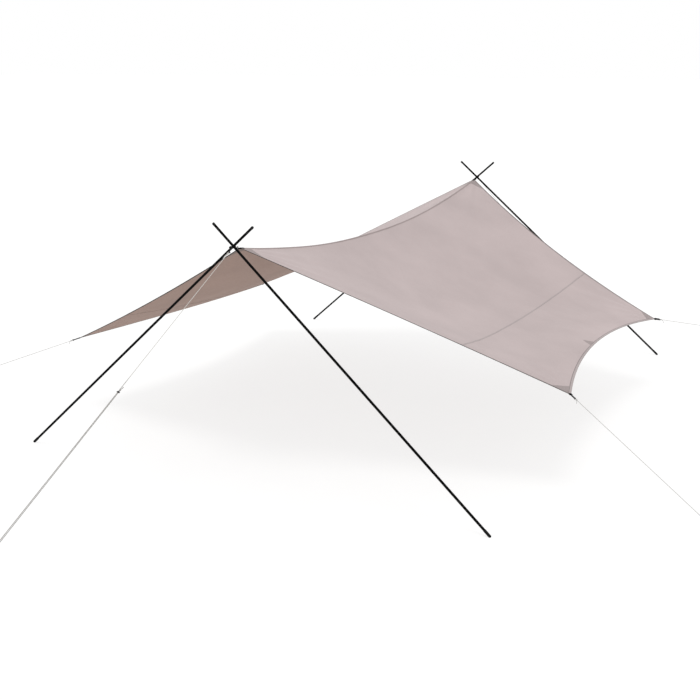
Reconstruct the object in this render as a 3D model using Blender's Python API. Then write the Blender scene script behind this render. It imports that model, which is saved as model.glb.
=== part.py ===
"""Hexagonal camping tarp pitched on two crossed-pole bipods, with its guy lines and pegs.

The frame stands on the ground midway between the bipods: +X to the right, +Y along the
ridge from the front bipod to the rear one, +Z up. All sizes are in metres.
"""
import math

import bmesh
import bpy
from mathutils import Matrix, Vector

# Driving dimensions of the two bipods
CROSSING_HEIGHT = 1.80
CROSSING_Y = 2.365
FOOT_SPREAD = 2.023
BIPOD_LEAN = 0.057
REAR_TURN = math.radians(4.4)
POLE_BEYOND_CROSSING = 0.240
POLE_RADIUS = 0.0095
TUBE_WALL = 0.0010
TUBE_JOINT_BELOW_CROSSING = 1.24
SPIGOT_LENGTH = 0.080
FOOT_LENGTH = 0.060
FOOT_RADIUS = 0.0105
PLUG_LENGTH = 0.035
POLE_SIDES = 16

# Pivot bolt through each crossing: nut inward, hand knob outward, and a lower eye on a bent neck at each end
POLE_OFFSET = 0.0132
BOLT_RADIUS = 0.0040
BOLT_HOLE_RADIUS = 0.0043
BOLT_COLLAR_RADIUS = 0.0080
NUT_RADIUS = 0.0090
NUT_LENGTH = 0.0048
KNOB_RADIUS = 0.0130
KNOB_LENGTH = 0.0120
NECK_RADIUS = 0.0028
NECK_BEND = 0.0060
NECK_REACH = 0.0085
INNER_EYE_DROP = 0.011
OUTER_EYE_DROP = 0.032
EYE_RADIUS = 0.0080
EYE_BAR_RADIUS = 0.0030
RING_BAR_RADIUS = 0.0025

# Canopy: two ridge ends and four corners, as the guy lines hold them
RIDGE_HALF_LENGTH = 2.279
RIDGE_HEIGHT = 1.781
RIDGE_SAG = 0.213
CORNERS = {
    "front_right": Vector((2.252, -1.466, 0.765)),
    "rear_right": Vector((2.194, 1.458, 0.659)),
    "front_left": Vector((-2.243, -1.564, 0.663)),
    "rear_left": Vector((-2.204, 1.455, 0.573)),
}
# How far each free edge bows inward and up from a straight line, at its middle
EDGE_BOW = {
    "front_right": (0.065, -0.009),
    "rear_right": (0.102, -0.029),
    "front_left": (0.010, -0.027),
    "rear_left": (0.003, 0.005),
    "right": (0.174, 0.076),
    "left": (0.214, 0.058),
}
PANEL_DROOP = {"right": 0.154, "left": 0.043}
PANEL_SEAM = 0.671
CLOTH_HALF_THICKNESS = 0.0015
HEM_HALF_THICKNESS = 0.0025
HEM_WIDTH = 0.030
HEM_STEP = 0.004

# Webbing tabs at the ridge ends and corners
CORNER_TAB_LENGTH = 0.068
RIDGE_TAB_LENGTH = 0.036
TAB_WIDTH = 0.025
TAB_THICKNESS = 0.004
TAB_BAR = 0.008
TAB_HOLE = (0.008, 0.007)
CORNER_TIP_CUT = 0.0125
RIDGE_TIP_CUT = 0.0070

# Guy lines, adjusters and pegs
CORD_RADIUS = 0.0020
CORD_SIDES = 8
KNOT_RADIUS = 0.0050
STOPPER_RADIUS = 0.0042
PEGS = {
    "front_ridge": (-0.010, -5.708),
    "rear_ridge": (0.0, 5.708),
    "front_right": (4.206, -2.860),
    "rear_right": (4.252, 3.629),
    "front_left": (-3.891, -2.900),
    "rear_left": (-4.252, 3.400),
}
PEG_LOOP_HEIGHT = 0.030
PEG_RADIUS = 0.0035
PEG_HEAD_RADIUS = 0.0085
RIDGE_ADJUSTER_AT = 0.382
CORNER_ADJUSTER_AT = 0.72
ADJUSTER_SIZE = (0.020, 0.012, 0.005)
ADJUSTER_HOLE_PITCH = 0.007
ADJUSTER_HOLE_RADIUS = 0.0024

GAP = 0.0003
UP = Vector((0.0, 0.0, 1.0))
ENDS = {"front": -1, "rear": 1}
SIDES = {"right": 1, "left": -1}


def clear_scene():
    for obj in list(bpy.data.objects):
        bpy.data.objects.remove(obj)


def make_material(name, color, roughness, metallic=0.0):
    material = bpy.data.materials.new(name)
    material.use_nodes = True
    shader = material.node_tree.nodes["Principled BSDF"]
    shader.inputs["Base Color"].default_value = (*color, 1.0)
    shader.inputs["Roughness"].default_value = roughness
    shader.inputs["Metallic"].default_value = metallic
    return material


def finish_mesh(bm, name, material, smooth=False):
    """Turn a bmesh into a named object with its own material."""
    bmesh.ops.recalc_face_normals(bm, faces=bm.faces[:])
    mesh = bpy.data.meshes.new(name)
    bm.to_mesh(mesh)
    bm.free()
    if smooth:
        mesh.shade_smooth()
        mesh.set_sharp_from_angle(angle=math.radians(35.0))
    mesh.materials.append(material)
    obj = bpy.data.objects.new(name, mesh)
    bpy.context.collection.objects.link(obj)
    return obj


def frame_matrix(origin, x_axis, y_axis, z_axis):
    """World matrix with the given unit axes as its columns."""
    matrix = Matrix((x_axis, y_axis, z_axis)).transposed().to_4x4()
    matrix.translation = origin
    return matrix


def lathe(profile, sides):
    """Turn a closed (radius, height) outline about the Z axis."""
    bm = bmesh.new()
    rings = []
    for radius, height in profile:
        if radius == 0.0:
            rings.append([bm.verts.new((0.0, 0.0, height))])
            continue
        angles = [2.0 * math.pi * (k + 0.5) / sides for k in range(sides)]
        rings.append([bm.verts.new((radius * math.cos(a), radius * math.sin(a), height)) for a in angles])
    closed = profile[0][0] != 0.0
    pairs = list(zip(rings, rings[1:])) + ([(rings[-1], rings[0])] if closed else [])
    for low, high in pairs:
        for k in range(sides):
            low_pair = [low[k % len(low)], low[(k + 1) % len(low)]]
            corners = low_pair + [high[(k + 1) % len(high)], high[k % len(high)]]
            unique = list(dict.fromkeys(corners))
            if len(unique) > 2:
                bm.faces.new(unique)
    return bm


def torus(major, minor, ring_sides, bar_sides):
    """A ring about the Z axis."""
    bm = bmesh.new()
    rings = []
    for i in range(ring_sides):
        a = 2.0 * math.pi * i / ring_sides
        ring = []
        for j in range(bar_sides):
            b = 2.0 * math.pi * (j + 0.5) / bar_sides
            radius = major + minor * math.cos(b)
            ring.append(bm.verts.new((radius * math.cos(a), radius * math.sin(a), minor * math.sin(b))))
        rings.append(ring)
    for i in range(ring_sides):
        here, there = rings[i], rings[(i + 1) % ring_sides]
        for j in range(bar_sides):
            k = (j + 1) % bar_sides
            bm.faces.new((here[j], there[j], there[k], here[k]))
    return bm


def sweep(points, radii, sides):
    """A round tube along points, with a radius at each of them."""
    bm = bmesh.new()
    count = len(points)
    tangents = []
    for i in range(count):
        before = (points[i] - points[i - 1]).normalized() if i > 0 else None
        after = (points[i + 1] - points[i]).normalized() if i < count - 1 else None
        tangents.append(((before or after) + (after or before)).normalized())
    side = tangents[0].orthogonal().normalized()
    rings = []
    for i in range(count):
        side = (side - tangents[i] * side.dot(tangents[i])).normalized()
        other = tangents[i].cross(side)
        ring = []
        for k in range(sides):
            a = 2.0 * math.pi * k / sides
            ring.append(bm.verts.new(points[i] + (side * math.cos(a) + other * math.sin(a)) * radii[i]))
        rings.append(ring)
    for here, there in zip(rings, rings[1:]):
        for k in range(sides):
            m = (k + 1) % sides
            bm.faces.new((here[k], here[m], there[m], there[k]))
    bm.faces.new(rings[0])
    bm.faces.new(rings[-1])
    return bm


def cut_away(bm, point, normal):
    """Cut a solid with a plane, drop the side that the normal points to, and return the cut's points."""
    geometry = bm.verts[:] + bm.edges[:] + bm.faces[:]
    bmesh.ops.bisect_plane(bm, geom=geometry, plane_co=point, plane_no=normal, clear_outer=True)
    rim = [edge for edge in bm.edges if edge.is_boundary]
    bmesh.ops.holes_fill(bm, edges=rim, sides=0)
    return {vert: vert.co.copy() for edge in rim for vert in edge.verts}.values()


def add_boolean(obj, cutter, operation):
    """Join or cut an object with a guide that isn't part of the model."""
    cutter.hide_render = True
    cutter.display_type = "WIRE"
    modifier = obj.modifiers.new(cutter.name, "BOOLEAN")
    modifier.operation = operation
    modifier.solver = "EXACT"
    modifier.object = cutter


def guide(bm, name, matrix, material):
    obj = finish_mesh(bm, name, material)
    obj.matrix_world = matrix
    return obj


# Bipods

def bipod(end_name):
    """Crossing point, feet's middle, and the across, pivot and outward axes of one bipod."""
    end = ENDS[end_name]
    turn = Matrix.Rotation(REAR_TURN if end > 0 else 0.0, 3, "Z")
    across = turn @ Vector((1.0, 0.0, 0.0))
    outward = turn @ Vector((0.0, end, 0.0))
    crossing = Vector((0.0, end * CROSSING_Y, CROSSING_HEIGHT))
    feet_middle = Vector((0.0, end * CROSSING_Y, 0.0)) + outward * BIPOD_LEAN
    rise = (crossing - feet_middle).normalized()
    pivot_axis = rise.cross(across).normalized()
    return {
        "end": end,
        "crossing": crossing,
        "feet_middle": feet_middle,
        "across": across,
        "rise": rise,
        "pivot_axis": pivot_axis,
        "outward": pivot_axis * end,
    }


def pole_frame(frame, side):
    """Matrix on the pivot with Z up the pole and Y on the pivot axis, and the pole's length below it."""
    foot = frame["feet_middle"] + frame["across"] * (side * FOOT_SPREAD)
    reach = frame["crossing"] - foot
    up_pole = reach.normalized()
    inner = side > 0
    offset = frame["outward"] * (-POLE_OFFSET if inner else POLE_OFFSET)
    x_axis = frame["pivot_axis"].cross(up_pole)
    matrix = frame_matrix(frame["crossing"] + offset, x_axis, frame["pivot_axis"], up_pole)
    return matrix, reach.length


def upper_tube_profile():
    top = POLE_BEYOND_CROSSING
    joint = -TUBE_JOINT_BELOW_CROSSING
    bore = POLE_RADIUS - TUBE_WALL
    spigot = bore - GAP
    return [
        (0.0, top),
        (0.0055, top - 0.0014),
        (0.0084, top - 0.0044),
        (POLE_RADIUS, top - 0.0090),
        (POLE_RADIUS, joint),
        (spigot, joint),
        (spigot, joint - SPIGOT_LENGTH),
        (spigot - TUBE_WALL, joint - SPIGOT_LENGTH),
        (spigot - TUBE_WALL, joint + 0.010),
        (bore, joint + 0.020),
        (bore, top - 0.0100),
        (0.0, top - 0.0060),
    ]


def lower_tube_profile(length):
    top = -TUBE_JOINT_BELOW_CROSSING - GAP
    bottom = -length + FOOT_LENGTH + GAP
    bore = POLE_RADIUS - TUBE_WALL
    return [(POLE_RADIUS, bottom), (POLE_RADIUS, top), (bore, top), (bore, bottom)]


def foot_profile(length):
    """Plug, shoulder and domed end; the ground trims the dome flat."""
    shoulder = -length + FOOT_LENGTH
    dome = -length + FOOT_RADIUS * 0.93
    plug = POLE_RADIUS - TUBE_WALL - GAP
    steps = [math.radians(a) for a in (22.5, 45.0, 67.5)]
    arc = [(FOOT_RADIUS * math.cos(a), dome - FOOT_RADIUS * math.sin(a)) for a in steps]
    return [
        (0.0, shoulder + PLUG_LENGTH),
        (plug - 0.001, shoulder + PLUG_LENGTH),
        (plug, shoulder + PLUG_LENGTH - 0.002),
        (plug, shoulder),
        (FOOT_RADIUS - 0.001, shoulder),
        (FOOT_RADIUS, shoulder - 0.0015),
        (FOOT_RADIUS, dome),
        *arc,
        (0.0, dome - FOOT_RADIUS),
    ]


def make_pole(end_name, side_name, frame, materials):
    matrix, length = pole_frame(frame, SIDES[side_name])
    name = f"{end_name}_{side_name}_pole"
    pivot = bpy.data.objects.new(f"{name}_pivot", None)
    bpy.context.collection.objects.link(pivot)
    pivot.matrix_world = matrix

    steel = materials["steel"]
    upper = finish_mesh(lathe(upper_tube_profile(), POLE_SIDES), f"{name}_upper_tube", steel, True)
    drill_outline = [(0.0, -0.02), (BOLT_HOLE_RADIUS, -0.02), (BOLT_HOLE_RADIUS, 0.02), (0.0, 0.02)]
    drill = lathe(drill_outline, POLE_SIDES)
    drill_matrix = matrix @ Matrix.Rotation(math.radians(-90.0), 4, "X")
    add_boolean(upper, guide(drill, f"{name}_drill", drill_matrix, steel), "DIFFERENCE")

    lower = finish_mesh(lathe(lower_tube_profile(length), POLE_SIDES), f"{name}_lower_tube", steel, True)

    foot_mesh = lathe(foot_profile(length), POLE_SIDES)
    to_local = matrix.inverted()
    ground_down = (to_local.to_3x3() @ -UP).normalized()
    cut_away(foot_mesh, to_local @ Vector((0.0, 0.0, 0.0)), ground_down)
    foot = finish_mesh(foot_mesh, f"{name}_foot", materials["rubber"], True)

    for obj in (upper, lower, foot):
        obj.parent = pivot


def nut_length(direction):
    return KNOB_LENGTH if direction > 0 else NUT_LENGTH


def nut_end_distance(direction):
    return POLE_OFFSET + POLE_RADIUS + GAP + nut_length(direction)


def eye_drop(direction):
    return OUTER_EYE_DROP if direction > 0 else INNER_EYE_DROP


def eye_bar(frame, direction):
    """Middle of the eye's far bar, on the outward side (1) or the canopy's side (-1)."""
    reach = nut_end_distance(direction) + NECK_REACH + 2.0 * EYE_RADIUS
    return frame["crossing"] + frame["outward"] * (direction * reach) - frame["rise"] * eye_drop(direction)


def bent_neck(direction):
    """Path from inside the nut or knob, down to the near bar of the eye."""
    start, drop = nut_end_distance(direction), eye_drop(direction)
    bend_start = start + NECK_REACH - NECK_BEND
    points = [Vector((0.0, 0.0, direction * (start - 0.5 * NUT_LENGTH)))]
    for step in range(7):
        angle = math.radians(15.0 * step)
        out = bend_start + NECK_BEND * math.sin(angle)
        points.append(Vector((0.0, -NECK_BEND * (1.0 - math.cos(angle)), direction * out)))
    points.append(Vector((0.0, -drop - 0.2 * EYE_BAR_RADIUS, direction * (start + NECK_REACH))))
    return points


def make_pivot_bolt(end_name, frame, materials):
    """Shaft, middle collar, nut and knob, with an eye on the bent neck at each end."""
    x_axis = frame["rise"].cross(frame["outward"])
    matrix = frame_matrix(frame["crossing"], x_axis, frame["rise"], frame["outward"])
    collar = POLE_OFFSET - POLE_RADIUS - GAP
    profile = []
    for direction, radius in ((-1, NUT_RADIUS), (1, KNOB_RADIUS)):
        nut_end = nut_end_distance(direction)
        nut_start = nut_end - nut_length(direction)
        half = [
            (BOLT_COLLAR_RADIUS, direction * collar),
            (BOLT_RADIUS, direction * collar),
            (BOLT_RADIUS, direction * nut_start),
            (radius, direction * nut_start),
            (radius, direction * nut_end),
            (0.0, direction * nut_end),
        ]
        profile.extend(half[::direction])
    steel = materials["steel"]
    bolt = finish_mesh(lathe(profile, POLE_SIDES), f"{end_name}_pivot_bolt", steel, True)
    bolt.matrix_world = matrix
    for label, direction in (("inner", -1), ("outer", 1)):
        path = bent_neck(direction)
        neck = guide(sweep(path, [NECK_RADIUS] * len(path), 10), f"{end_name}_{label}_neck", matrix, steel)
        add_boolean(bolt, neck, "UNION")
        reach = nut_end_distance(direction) + NECK_REACH + EYE_RADIUS
        centre = Vector((0.0, -eye_drop(direction), direction * reach))
        eye_matrix = matrix @ Matrix.Translation(centre) @ Matrix.Rotation(math.radians(90.0), 4, "X")
        eye = guide(torus(EYE_RADIUS, EYE_BAR_RADIUS, 16, 8), f"{end_name}_{label}_eye", eye_matrix, steel)
        add_boolean(bolt, eye, "UNION")


# Canopy

def edge_point(start, end, bow, t):
    """A point on an edge that bows inward and up from the straight line between two corners."""
    inward, rise = bow
    chord = end - start
    middle = (start + end) * 0.5
    normal = Vector((-chord.y, chord.x, 0.0)).normalized()
    if normal.dot(Vector((middle.x, middle.y, 0.0))) > 0.0:
        normal = -normal
    return start + chord * t + (normal * inward + UP * rise) * (4.0 * t * (1.0 - t))


def ridge_end(end_name):
    return Vector((0.0, ENDS[end_name] * RIDGE_HALF_LENGTH, RIDGE_HEIGHT))


def canopy_point(side_name, u, v):
    """A point of one half: u runs from the ridge to the side edge, v from the front to the rear."""
    front, rear = ridge_end("front"), ridge_end("rear")
    near, far = CORNERS[f"front_{side_name}"], CORNERS[f"rear_{side_name}"]
    ridge = front.lerp(rear, v) - UP * (RIDGE_SAG * 4.0 * v * (1.0 - v))
    side = edge_point(near, far, EDGE_BOW[side_name], v)
    front_edge = edge_point(front, near, EDGE_BOW[f"front_{side_name}"], u)
    rear_edge = edge_point(rear, far, EDGE_BOW[f"rear_{side_name}"], u)
    across = ridge.lerp(side, u)
    along = front_edge.lerp(rear_edge, v)
    corners = front.lerp(rear, v).lerp(near.lerp(far, v), u)
    droop = PANEL_DROOP[side_name] * 16.0 * u * (1.0 - u) * v * (1.0 - v)
    return across + along - corners - UP * droop


def panel_rows(side_name, u_values, side_hem):
    """Grid of (point, half thickness), thicker within a hem's width of each free edge."""
    width = (canopy_point(side_name, 1.0, 0.5) - canopy_point(side_name, 0.0, 0.5)).length
    if side_hem:
        hem, step = HEM_WIDTH / width, HEM_STEP / width
        u_values = u_values + [1.0 - hem - step, 1.0 - hem, 1.0]
    rows = []
    for u in u_values:
        length = (canopy_point(side_name, u, 1.0) - canopy_point(side_name, u, 0.0)).length
        hem, step = HEM_WIDTH / length, HEM_STEP / length
        inner = [hem + step + (1.0 - 2.0 * (hem + step)) * k / 14.0 for k in range(15)]
        v_values = [0.0, hem] + inner + [1.0 - hem, 1.0]
        row = []
        for v in v_values:
            in_hem = v <= hem or v >= 1.0 - hem or (side_hem and u >= 1.0 - HEM_WIDTH / width)
            half = HEM_HALF_THICKNESS if in_hem else CLOTH_HALF_THICKNESS
            row.append((canopy_point(side_name, u, v), half))
        rows.append(row)
    return rows


def solid_sheet(rows):
    """Closed solid between the upper and lower face of a grid."""
    bm = bmesh.new()
    upper = [[bm.verts.new(point + UP * half) for point, half in row] for row in rows]
    lower = [[bm.verts.new(point - UP * half) for point, half in row] for row in rows]
    last_row, last_column = len(rows) - 1, len(rows[0]) - 1
    for i in range(last_row):
        for j in range(last_column):
            for sheet in (upper, lower):
                bm.faces.new((sheet[i][j], sheet[i + 1][j], sheet[i + 1][j + 1], sheet[i][j + 1]))
    rim = [(0, j) for j in range(last_column)] + [(i, last_column) for i in range(last_row)]
    rim += [(last_row, j) for j in range(last_column, 0, -1)] + [(i, 0) for i in range(last_row, 0, -1)]
    for (i, j), (m, n) in zip(rim, rim[1:] + rim[:1]):
        bm.faces.new((upper[i][j], upper[m][n], lower[m][n], lower[i][j]))
    return bm


def even_steps(start, end, count):
    return [start + (end - start) * k / count for k in range(count + 1)]


def make_canopy(tips, materials):
    """Four panels, cut blunt at the tips; returns each blunt end's points."""
    cuts = {tip: [] for tip in tips}
    for side_name in SIDES:
        width = (canopy_point(side_name, 1.0, 0.5) - canopy_point(side_name, 0.0, 0.5)).length
        half_gap = 0.5 * GAP / width
        inner = even_steps(1.5 * half_gap, PANEL_SEAM - half_gap, 6)
        outer = even_steps(PANEL_SEAM + half_gap, 1.0 - (HEM_WIDTH + HEM_STEP) / width, 3)[:-1]
        panels = {
            f"{side_name}_inner_panel": (inner, False, ("front_ridge", "rear_ridge")),
            f"{side_name}_outer_panel": (outer, True, (f"front_{side_name}", f"rear_{side_name}")),
        }
        for name, (u_values, side_hem, panel_tips) in panels.items():
            bm = solid_sheet(panel_rows(side_name, u_values, side_hem))
            bmesh.ops.recalc_face_normals(bm, faces=bm.faces[:])
            for tip in panel_tips:
                point, pull, depth = tips[tip]
                cuts[tip].extend(cut_away(bm, point - pull * depth, pull))
            finish_mesh(bm, name, materials["cloth"])
    return cuts


# Tabs, rings, guy lines, adjusters and pegs

def tab_frame(cut_points, pull):
    """Middle of a blunt canopy end, and the tab's along, lateral and normal axes there."""
    points = list(cut_points)
    middle = sum(points, Vector()) / len(points)
    reach = max(points, key=lambda p: (p - middle).length) - middle
    lateral = (reach - pull * reach.dot(pull)).normalized()
    if abs(middle.x) < 0.1:
        lateral = pull.cross(UP).normalized()
    normal = lateral.cross(pull)
    if normal.z < 0.0:
        lateral, normal = -lateral, -normal
    return middle, pull, lateral, normal


def make_tab(name, frame, length, materials):
    """Flat webbing with an eye near its outer end; returns the middle of its end bar."""
    middle, along, lateral, normal = frame
    matrix = frame_matrix(middle + along * GAP, along, lateral, normal)
    half_width, chamfer = TAB_WIDTH * 0.5, 0.004
    hole_start = length - TAB_BAR - TAB_HOLE[0]
    hole_end = length - TAB_BAR
    half_hole = TAB_HOLE[1] * 0.5
    outer = [
        (0.0, -half_width),
        (length - chamfer, -half_width),
        (length, -half_width + chamfer),
        (length, half_width - chamfer),
        (length - chamfer, half_width),
        (0.0, half_width),
    ]
    inner = [
        (hole_start, -half_hole),
        (hole_end - 0.001, -half_hole),
        (hole_end, -half_hole + 0.001),
        (hole_end, half_hole - 0.001),
        (hole_end - 0.001, half_hole),
        (hole_start, half_hole),
    ]
    bm = bmesh.new()
    loops = []
    for outline in (outer, inner):
        for height in (0.5 * TAB_THICKNESS, -0.5 * TAB_THICKNESS):
            loops.append([bm.verts.new((x, y, height)) for x, y in outline])
    outer_top, outer_low, inner_top, inner_low = loops
    count = len(outer)
    for k in range(count):
        m = (k + 1) % count
        bm.faces.new((outer_top[k], outer_top[m], inner_top[m], inner_top[k]))
        bm.faces.new((outer_low[k], outer_low[m], inner_low[m], inner_low[k]))
        bm.faces.new((outer_top[k], outer_top[m], outer_low[m], outer_low[k]))
        bm.faces.new((inner_top[k], inner_top[m], inner_low[m], inner_low[k]))
    tab = finish_mesh(bm, name, materials["webbing"])
    tab.matrix_world = matrix
    return matrix @ Vector((length - 0.5 * TAB_BAR, 0.0, 0.0))


def make_ring(name, eye, tab_bar, materials):
    """Round link pulled tight between the bolt's eye and the tab's end bar."""
    toward_tab = tab_bar - eye
    distance = toward_tab.length
    along = toward_tab.normalized()
    from_eye = EYE_BAR_RADIUS + GAP + RING_BAR_RADIUS
    from_tab = 0.5 * TAB_BAR + 2.0 * GAP + RING_BAR_RADIUS
    radius = 0.5 * (distance + from_eye + from_tab)
    centre = eye + along * (radius - from_eye)
    lateral = along.cross(UP).normalized()
    ring = finish_mesh(torus(radius, RING_BAR_RADIUS, 20, 8), name, materials["steel"], True)
    ring.matrix_world = frame_matrix(centre, along, lateral.cross(along), lateral)


def peg_frame(start, tip):
    """Loop centre on a peg, with the guy line's direction and the peg's lateral and shaft axes."""
    centre = peg_loop(tip)
    along = (centre - start).normalized()
    lateral = along.cross(UP).normalized()
    shaft = lateral.cross(along)
    return centre, along, lateral, shaft


def guy_line(start, normal, bar_reach, tip, adjuster_at):
    """Cord path from a loop round a bar to the peg and back to the adjuster."""
    centre, along, lateral, _ = peg_frame(start, tip)
    normal = (normal - along * normal.dot(along)).normalized()
    loop = bar_reach + CORD_RADIUS + GAP
    points = [start + along * 0.0105 + normal * 0.0048]
    for step in range(9):
        angle = math.radians(90.0 + 22.5 * step)
        points.append(start + along * (loop * math.cos(angle)) + normal * (loop * math.sin(angle)))
    radii = [CORD_RADIUS] * len(points)
    knot = [(0.0115, -0.0036, CORD_RADIUS), (0.0140, -0.0016, 0.8 * KNOT_RADIUS), (0.0180, 0.0, KNOT_RADIUS),
            (0.0215, 0.0, 0.8 * KNOT_RADIUS), (0.0240, 0.0, CORD_RADIUS)]
    for distance, rise, radius in knot:
        points.append(start + along * distance + normal * rise)
        radii.append(radius)
    leave = points[-1]
    turn = PEG_RADIUS + CORD_RADIUS + GAP
    arrive = centre + lateral * turn
    for step in range(9):
        angle = math.radians(22.5 * step)
        points.append(centre + lateral * (turn * math.cos(angle)) + along * (turn * math.sin(angle)))
        radii.append(CORD_RADIUS)
    at_adjuster = leave.lerp(arrive, adjuster_at)
    back = at_adjuster - lateral * ADJUSTER_HOLE_PITCH
    home = (back - points[-1]).normalized()
    tail = [(0.012, CORD_RADIUS), (0.014, 0.8 * STOPPER_RADIUS), (0.018, STOPPER_RADIUS),
            (0.022, 0.8 * STOPPER_RADIUS), (0.024, CORD_RADIUS), (0.040, CORD_RADIUS)]
    for distance, radius in tail:
        points.append(back + home * distance)
        radii.append(radius)
    return points, radii, at_adjuster, (arrive - leave).normalized(), lateral


def make_adjuster(name, place, along, lateral, materials):
    """Small bar with two holes: the line runs down through one and back up to the other."""
    normal = lateral.cross(along)
    centre = place - lateral * (0.5 * ADJUSTER_HOLE_PITCH)
    matrix = frame_matrix(centre, lateral, normal, along)
    bm = bmesh.new()
    bmesh.ops.create_cube(bm, size=1.0)
    bmesh.ops.scale(bm, vec=ADJUSTER_SIZE, verts=bm.verts[:])
    corners = [edge for edge in bm.edges if abs(edge.verts[0].co.z - edge.verts[1].co.z) > 0.001]
    bmesh.ops.bevel(bm, geom=corners, offset=0.003, segments=2, affect="EDGES", clamp_overlap=True)
    adjuster = finish_mesh(bm, name, materials["plastic"])
    adjuster.matrix_world = matrix
    for label, shift in (("line", 0.5), ("return", -0.5)):
        drill = lathe([(0.0, -0.01), (ADJUSTER_HOLE_RADIUS, -0.01), (ADJUSTER_HOLE_RADIUS, 0.01), (0.0, 0.01)], 12)
        place_matrix = matrix @ Matrix.Translation((shift * ADJUSTER_HOLE_PITCH, 0.0, 0.0))
        hole = guide(drill, f"{name}_{label}_hole", place_matrix, materials["plastic"])
        add_boolean(adjuster, hole, "DIFFERENCE")


def make_peg(tip, start, materials):
    """The part of a peg that shows above the ground: shaft, collar and domed head."""
    centre, along, lateral, shaft = peg_frame(start, tip)
    seat = CORD_RADIUS + 0.002
    profile = [
        (0.0, -0.060),
        (PEG_RADIUS, -0.060),
        (PEG_RADIUS, seat),
        (PEG_HEAD_RADIUS - 0.001, seat + 0.001),
        (PEG_HEAD_RADIUS, seat + 0.0025),
        (PEG_HEAD_RADIUS, seat + 0.005),
        (PEG_HEAD_RADIUS * 0.75, seat + 0.0085),
        (PEG_HEAD_RADIUS * 0.4, seat + 0.0100),
        (0.0, seat + 0.0105),
    ]
    bm = lathe(profile, 12)
    bmesh.ops.transform(bm, matrix=frame_matrix(centre, along, lateral, shaft), verts=bm.verts[:])
    cut_away(bm, Vector((0.0, 0.0, 0.0)), -UP)
    finish_mesh(bm, f"{tip}_peg", materials["steel"], True)


def make_guy(tip, start, normal, bar_reach, adjuster_at, materials):
    points, radii, place, along, lateral = guy_line(start, normal, bar_reach, tip, adjuster_at)
    finish_mesh(sweep(points, radii, CORD_SIDES), f"{tip}_guy_line", materials["cord"], True)
    make_adjuster(f"{tip}_adjuster", place, along, lateral, materials)
    make_peg(tip, start, materials)


def peg_loop(tip):
    """Where the guy line's loop turns round a peg."""
    return Vector((*PEGS[tip], PEG_LOOP_HEIGHT))


def canopy_tips(frames):
    """Each tip's point, the unit direction that it is pulled in, and how far it is cut back."""
    tips = {}
    for end_name, frame in frames.items():
        point = ridge_end(end_name)
        tips[f"{end_name}_ridge"] = (point, (eye_bar(frame, -1) - point).normalized(), RIDGE_TIP_CUT)
    for name, point in CORNERS.items():
        tips[name] = (point, (peg_loop(name) - point).normalized(), CORNER_TIP_CUT)
    return tips


def main():
    clear_scene()
    materials = {
        "cloth": make_material("canopy cloth", (0.56, 0.48, 0.47), 0.85),
        "webbing": make_material("black webbing", (0.02, 0.02, 0.02), 0.80),
        "steel": make_material("black steel", (0.015, 0.015, 0.016), 0.40, 0.6),
        "rubber": make_material("black rubber", (0.02, 0.02, 0.02), 0.70),
        "cord": make_material("pale cord", (0.62, 0.60, 0.58), 0.75),
        "plastic": make_material("dark plastic", (0.03, 0.03, 0.03), 0.45),
    }
    frames = {end_name: bipod(end_name) for end_name in ENDS}
    for end_name, frame in frames.items():
        for side_name in SIDES:
            make_pole(end_name, side_name, frame, materials)
        make_pivot_bolt(end_name, frame, materials)

    tips = canopy_tips(frames)
    cuts = make_canopy(tips, materials)
    tab_reach = math.hypot(0.5 * TAB_BAR, 0.5 * TAB_THICKNESS)
    for tip, (_, pull, _) in tips.items():
        tab = tab_frame(cuts[tip], pull)
        if tip in CORNERS:
            bar = make_tab(f"{tip}_tab", tab, CORNER_TAB_LENGTH, materials)
            make_guy(tip, bar, tab[3], tab_reach, CORNER_ADJUSTER_AT, materials)
            continue
        bar = make_tab(f"{tip}_tab", tab, RIDGE_TAB_LENGTH, materials)
        frame = frames[tip.split("_")[0]]
        make_ring(f"{tip}_ring", eye_bar(frame, -1), bar, materials)
        make_guy(tip, eye_bar(frame, 1), UP, EYE_BAR_RADIUS, RIDGE_ADJUSTER_AT, materials)
    bpy.context.view_layer.update()


main()
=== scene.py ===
"""Dressed model of a hexagonal camping tarp pitched on two crossed-pole bipods.

Metres, +X to the right, +Y along the ridge to the rear, +Z up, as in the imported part.
"""
import math

import bmesh
import bpy
import numpy as np
from mathutils import Matrix, Vector


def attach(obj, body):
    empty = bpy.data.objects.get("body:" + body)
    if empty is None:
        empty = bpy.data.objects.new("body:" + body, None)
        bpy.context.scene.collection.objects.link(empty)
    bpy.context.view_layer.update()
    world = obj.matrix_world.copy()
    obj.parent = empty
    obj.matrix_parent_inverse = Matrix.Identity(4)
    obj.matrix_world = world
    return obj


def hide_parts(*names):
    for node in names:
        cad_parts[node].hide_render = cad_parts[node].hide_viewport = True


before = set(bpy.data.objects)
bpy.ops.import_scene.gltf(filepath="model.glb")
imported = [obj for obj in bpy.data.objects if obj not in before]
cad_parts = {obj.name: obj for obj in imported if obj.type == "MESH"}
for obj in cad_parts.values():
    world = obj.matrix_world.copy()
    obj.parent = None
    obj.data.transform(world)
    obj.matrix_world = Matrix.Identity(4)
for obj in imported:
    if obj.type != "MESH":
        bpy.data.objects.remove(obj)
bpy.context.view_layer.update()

# Camera
CAMERA_AT = (4.3235, -8.7362, 3.1904)
CAMERA_AZIMUTH = 27.9747
CAMERA_ELEVATION = 15.7348
CAMERA_ROLL = -0.3373
CAMERA_LENS = 55.835

# The pale floor glows, as a lit studio cove does, so that shadows stay faint and nothing burns out
FLOOR_GLOW = 0.78
FLOOR_REACH = 90.0
KEY_STRENGTH = 1.15
KEY_WIDTH = 22.0
KEY_COLOR = (1.0, 0.985, 0.965)
KEY_FROM = (0.05, -0.25, 0.97)

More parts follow.
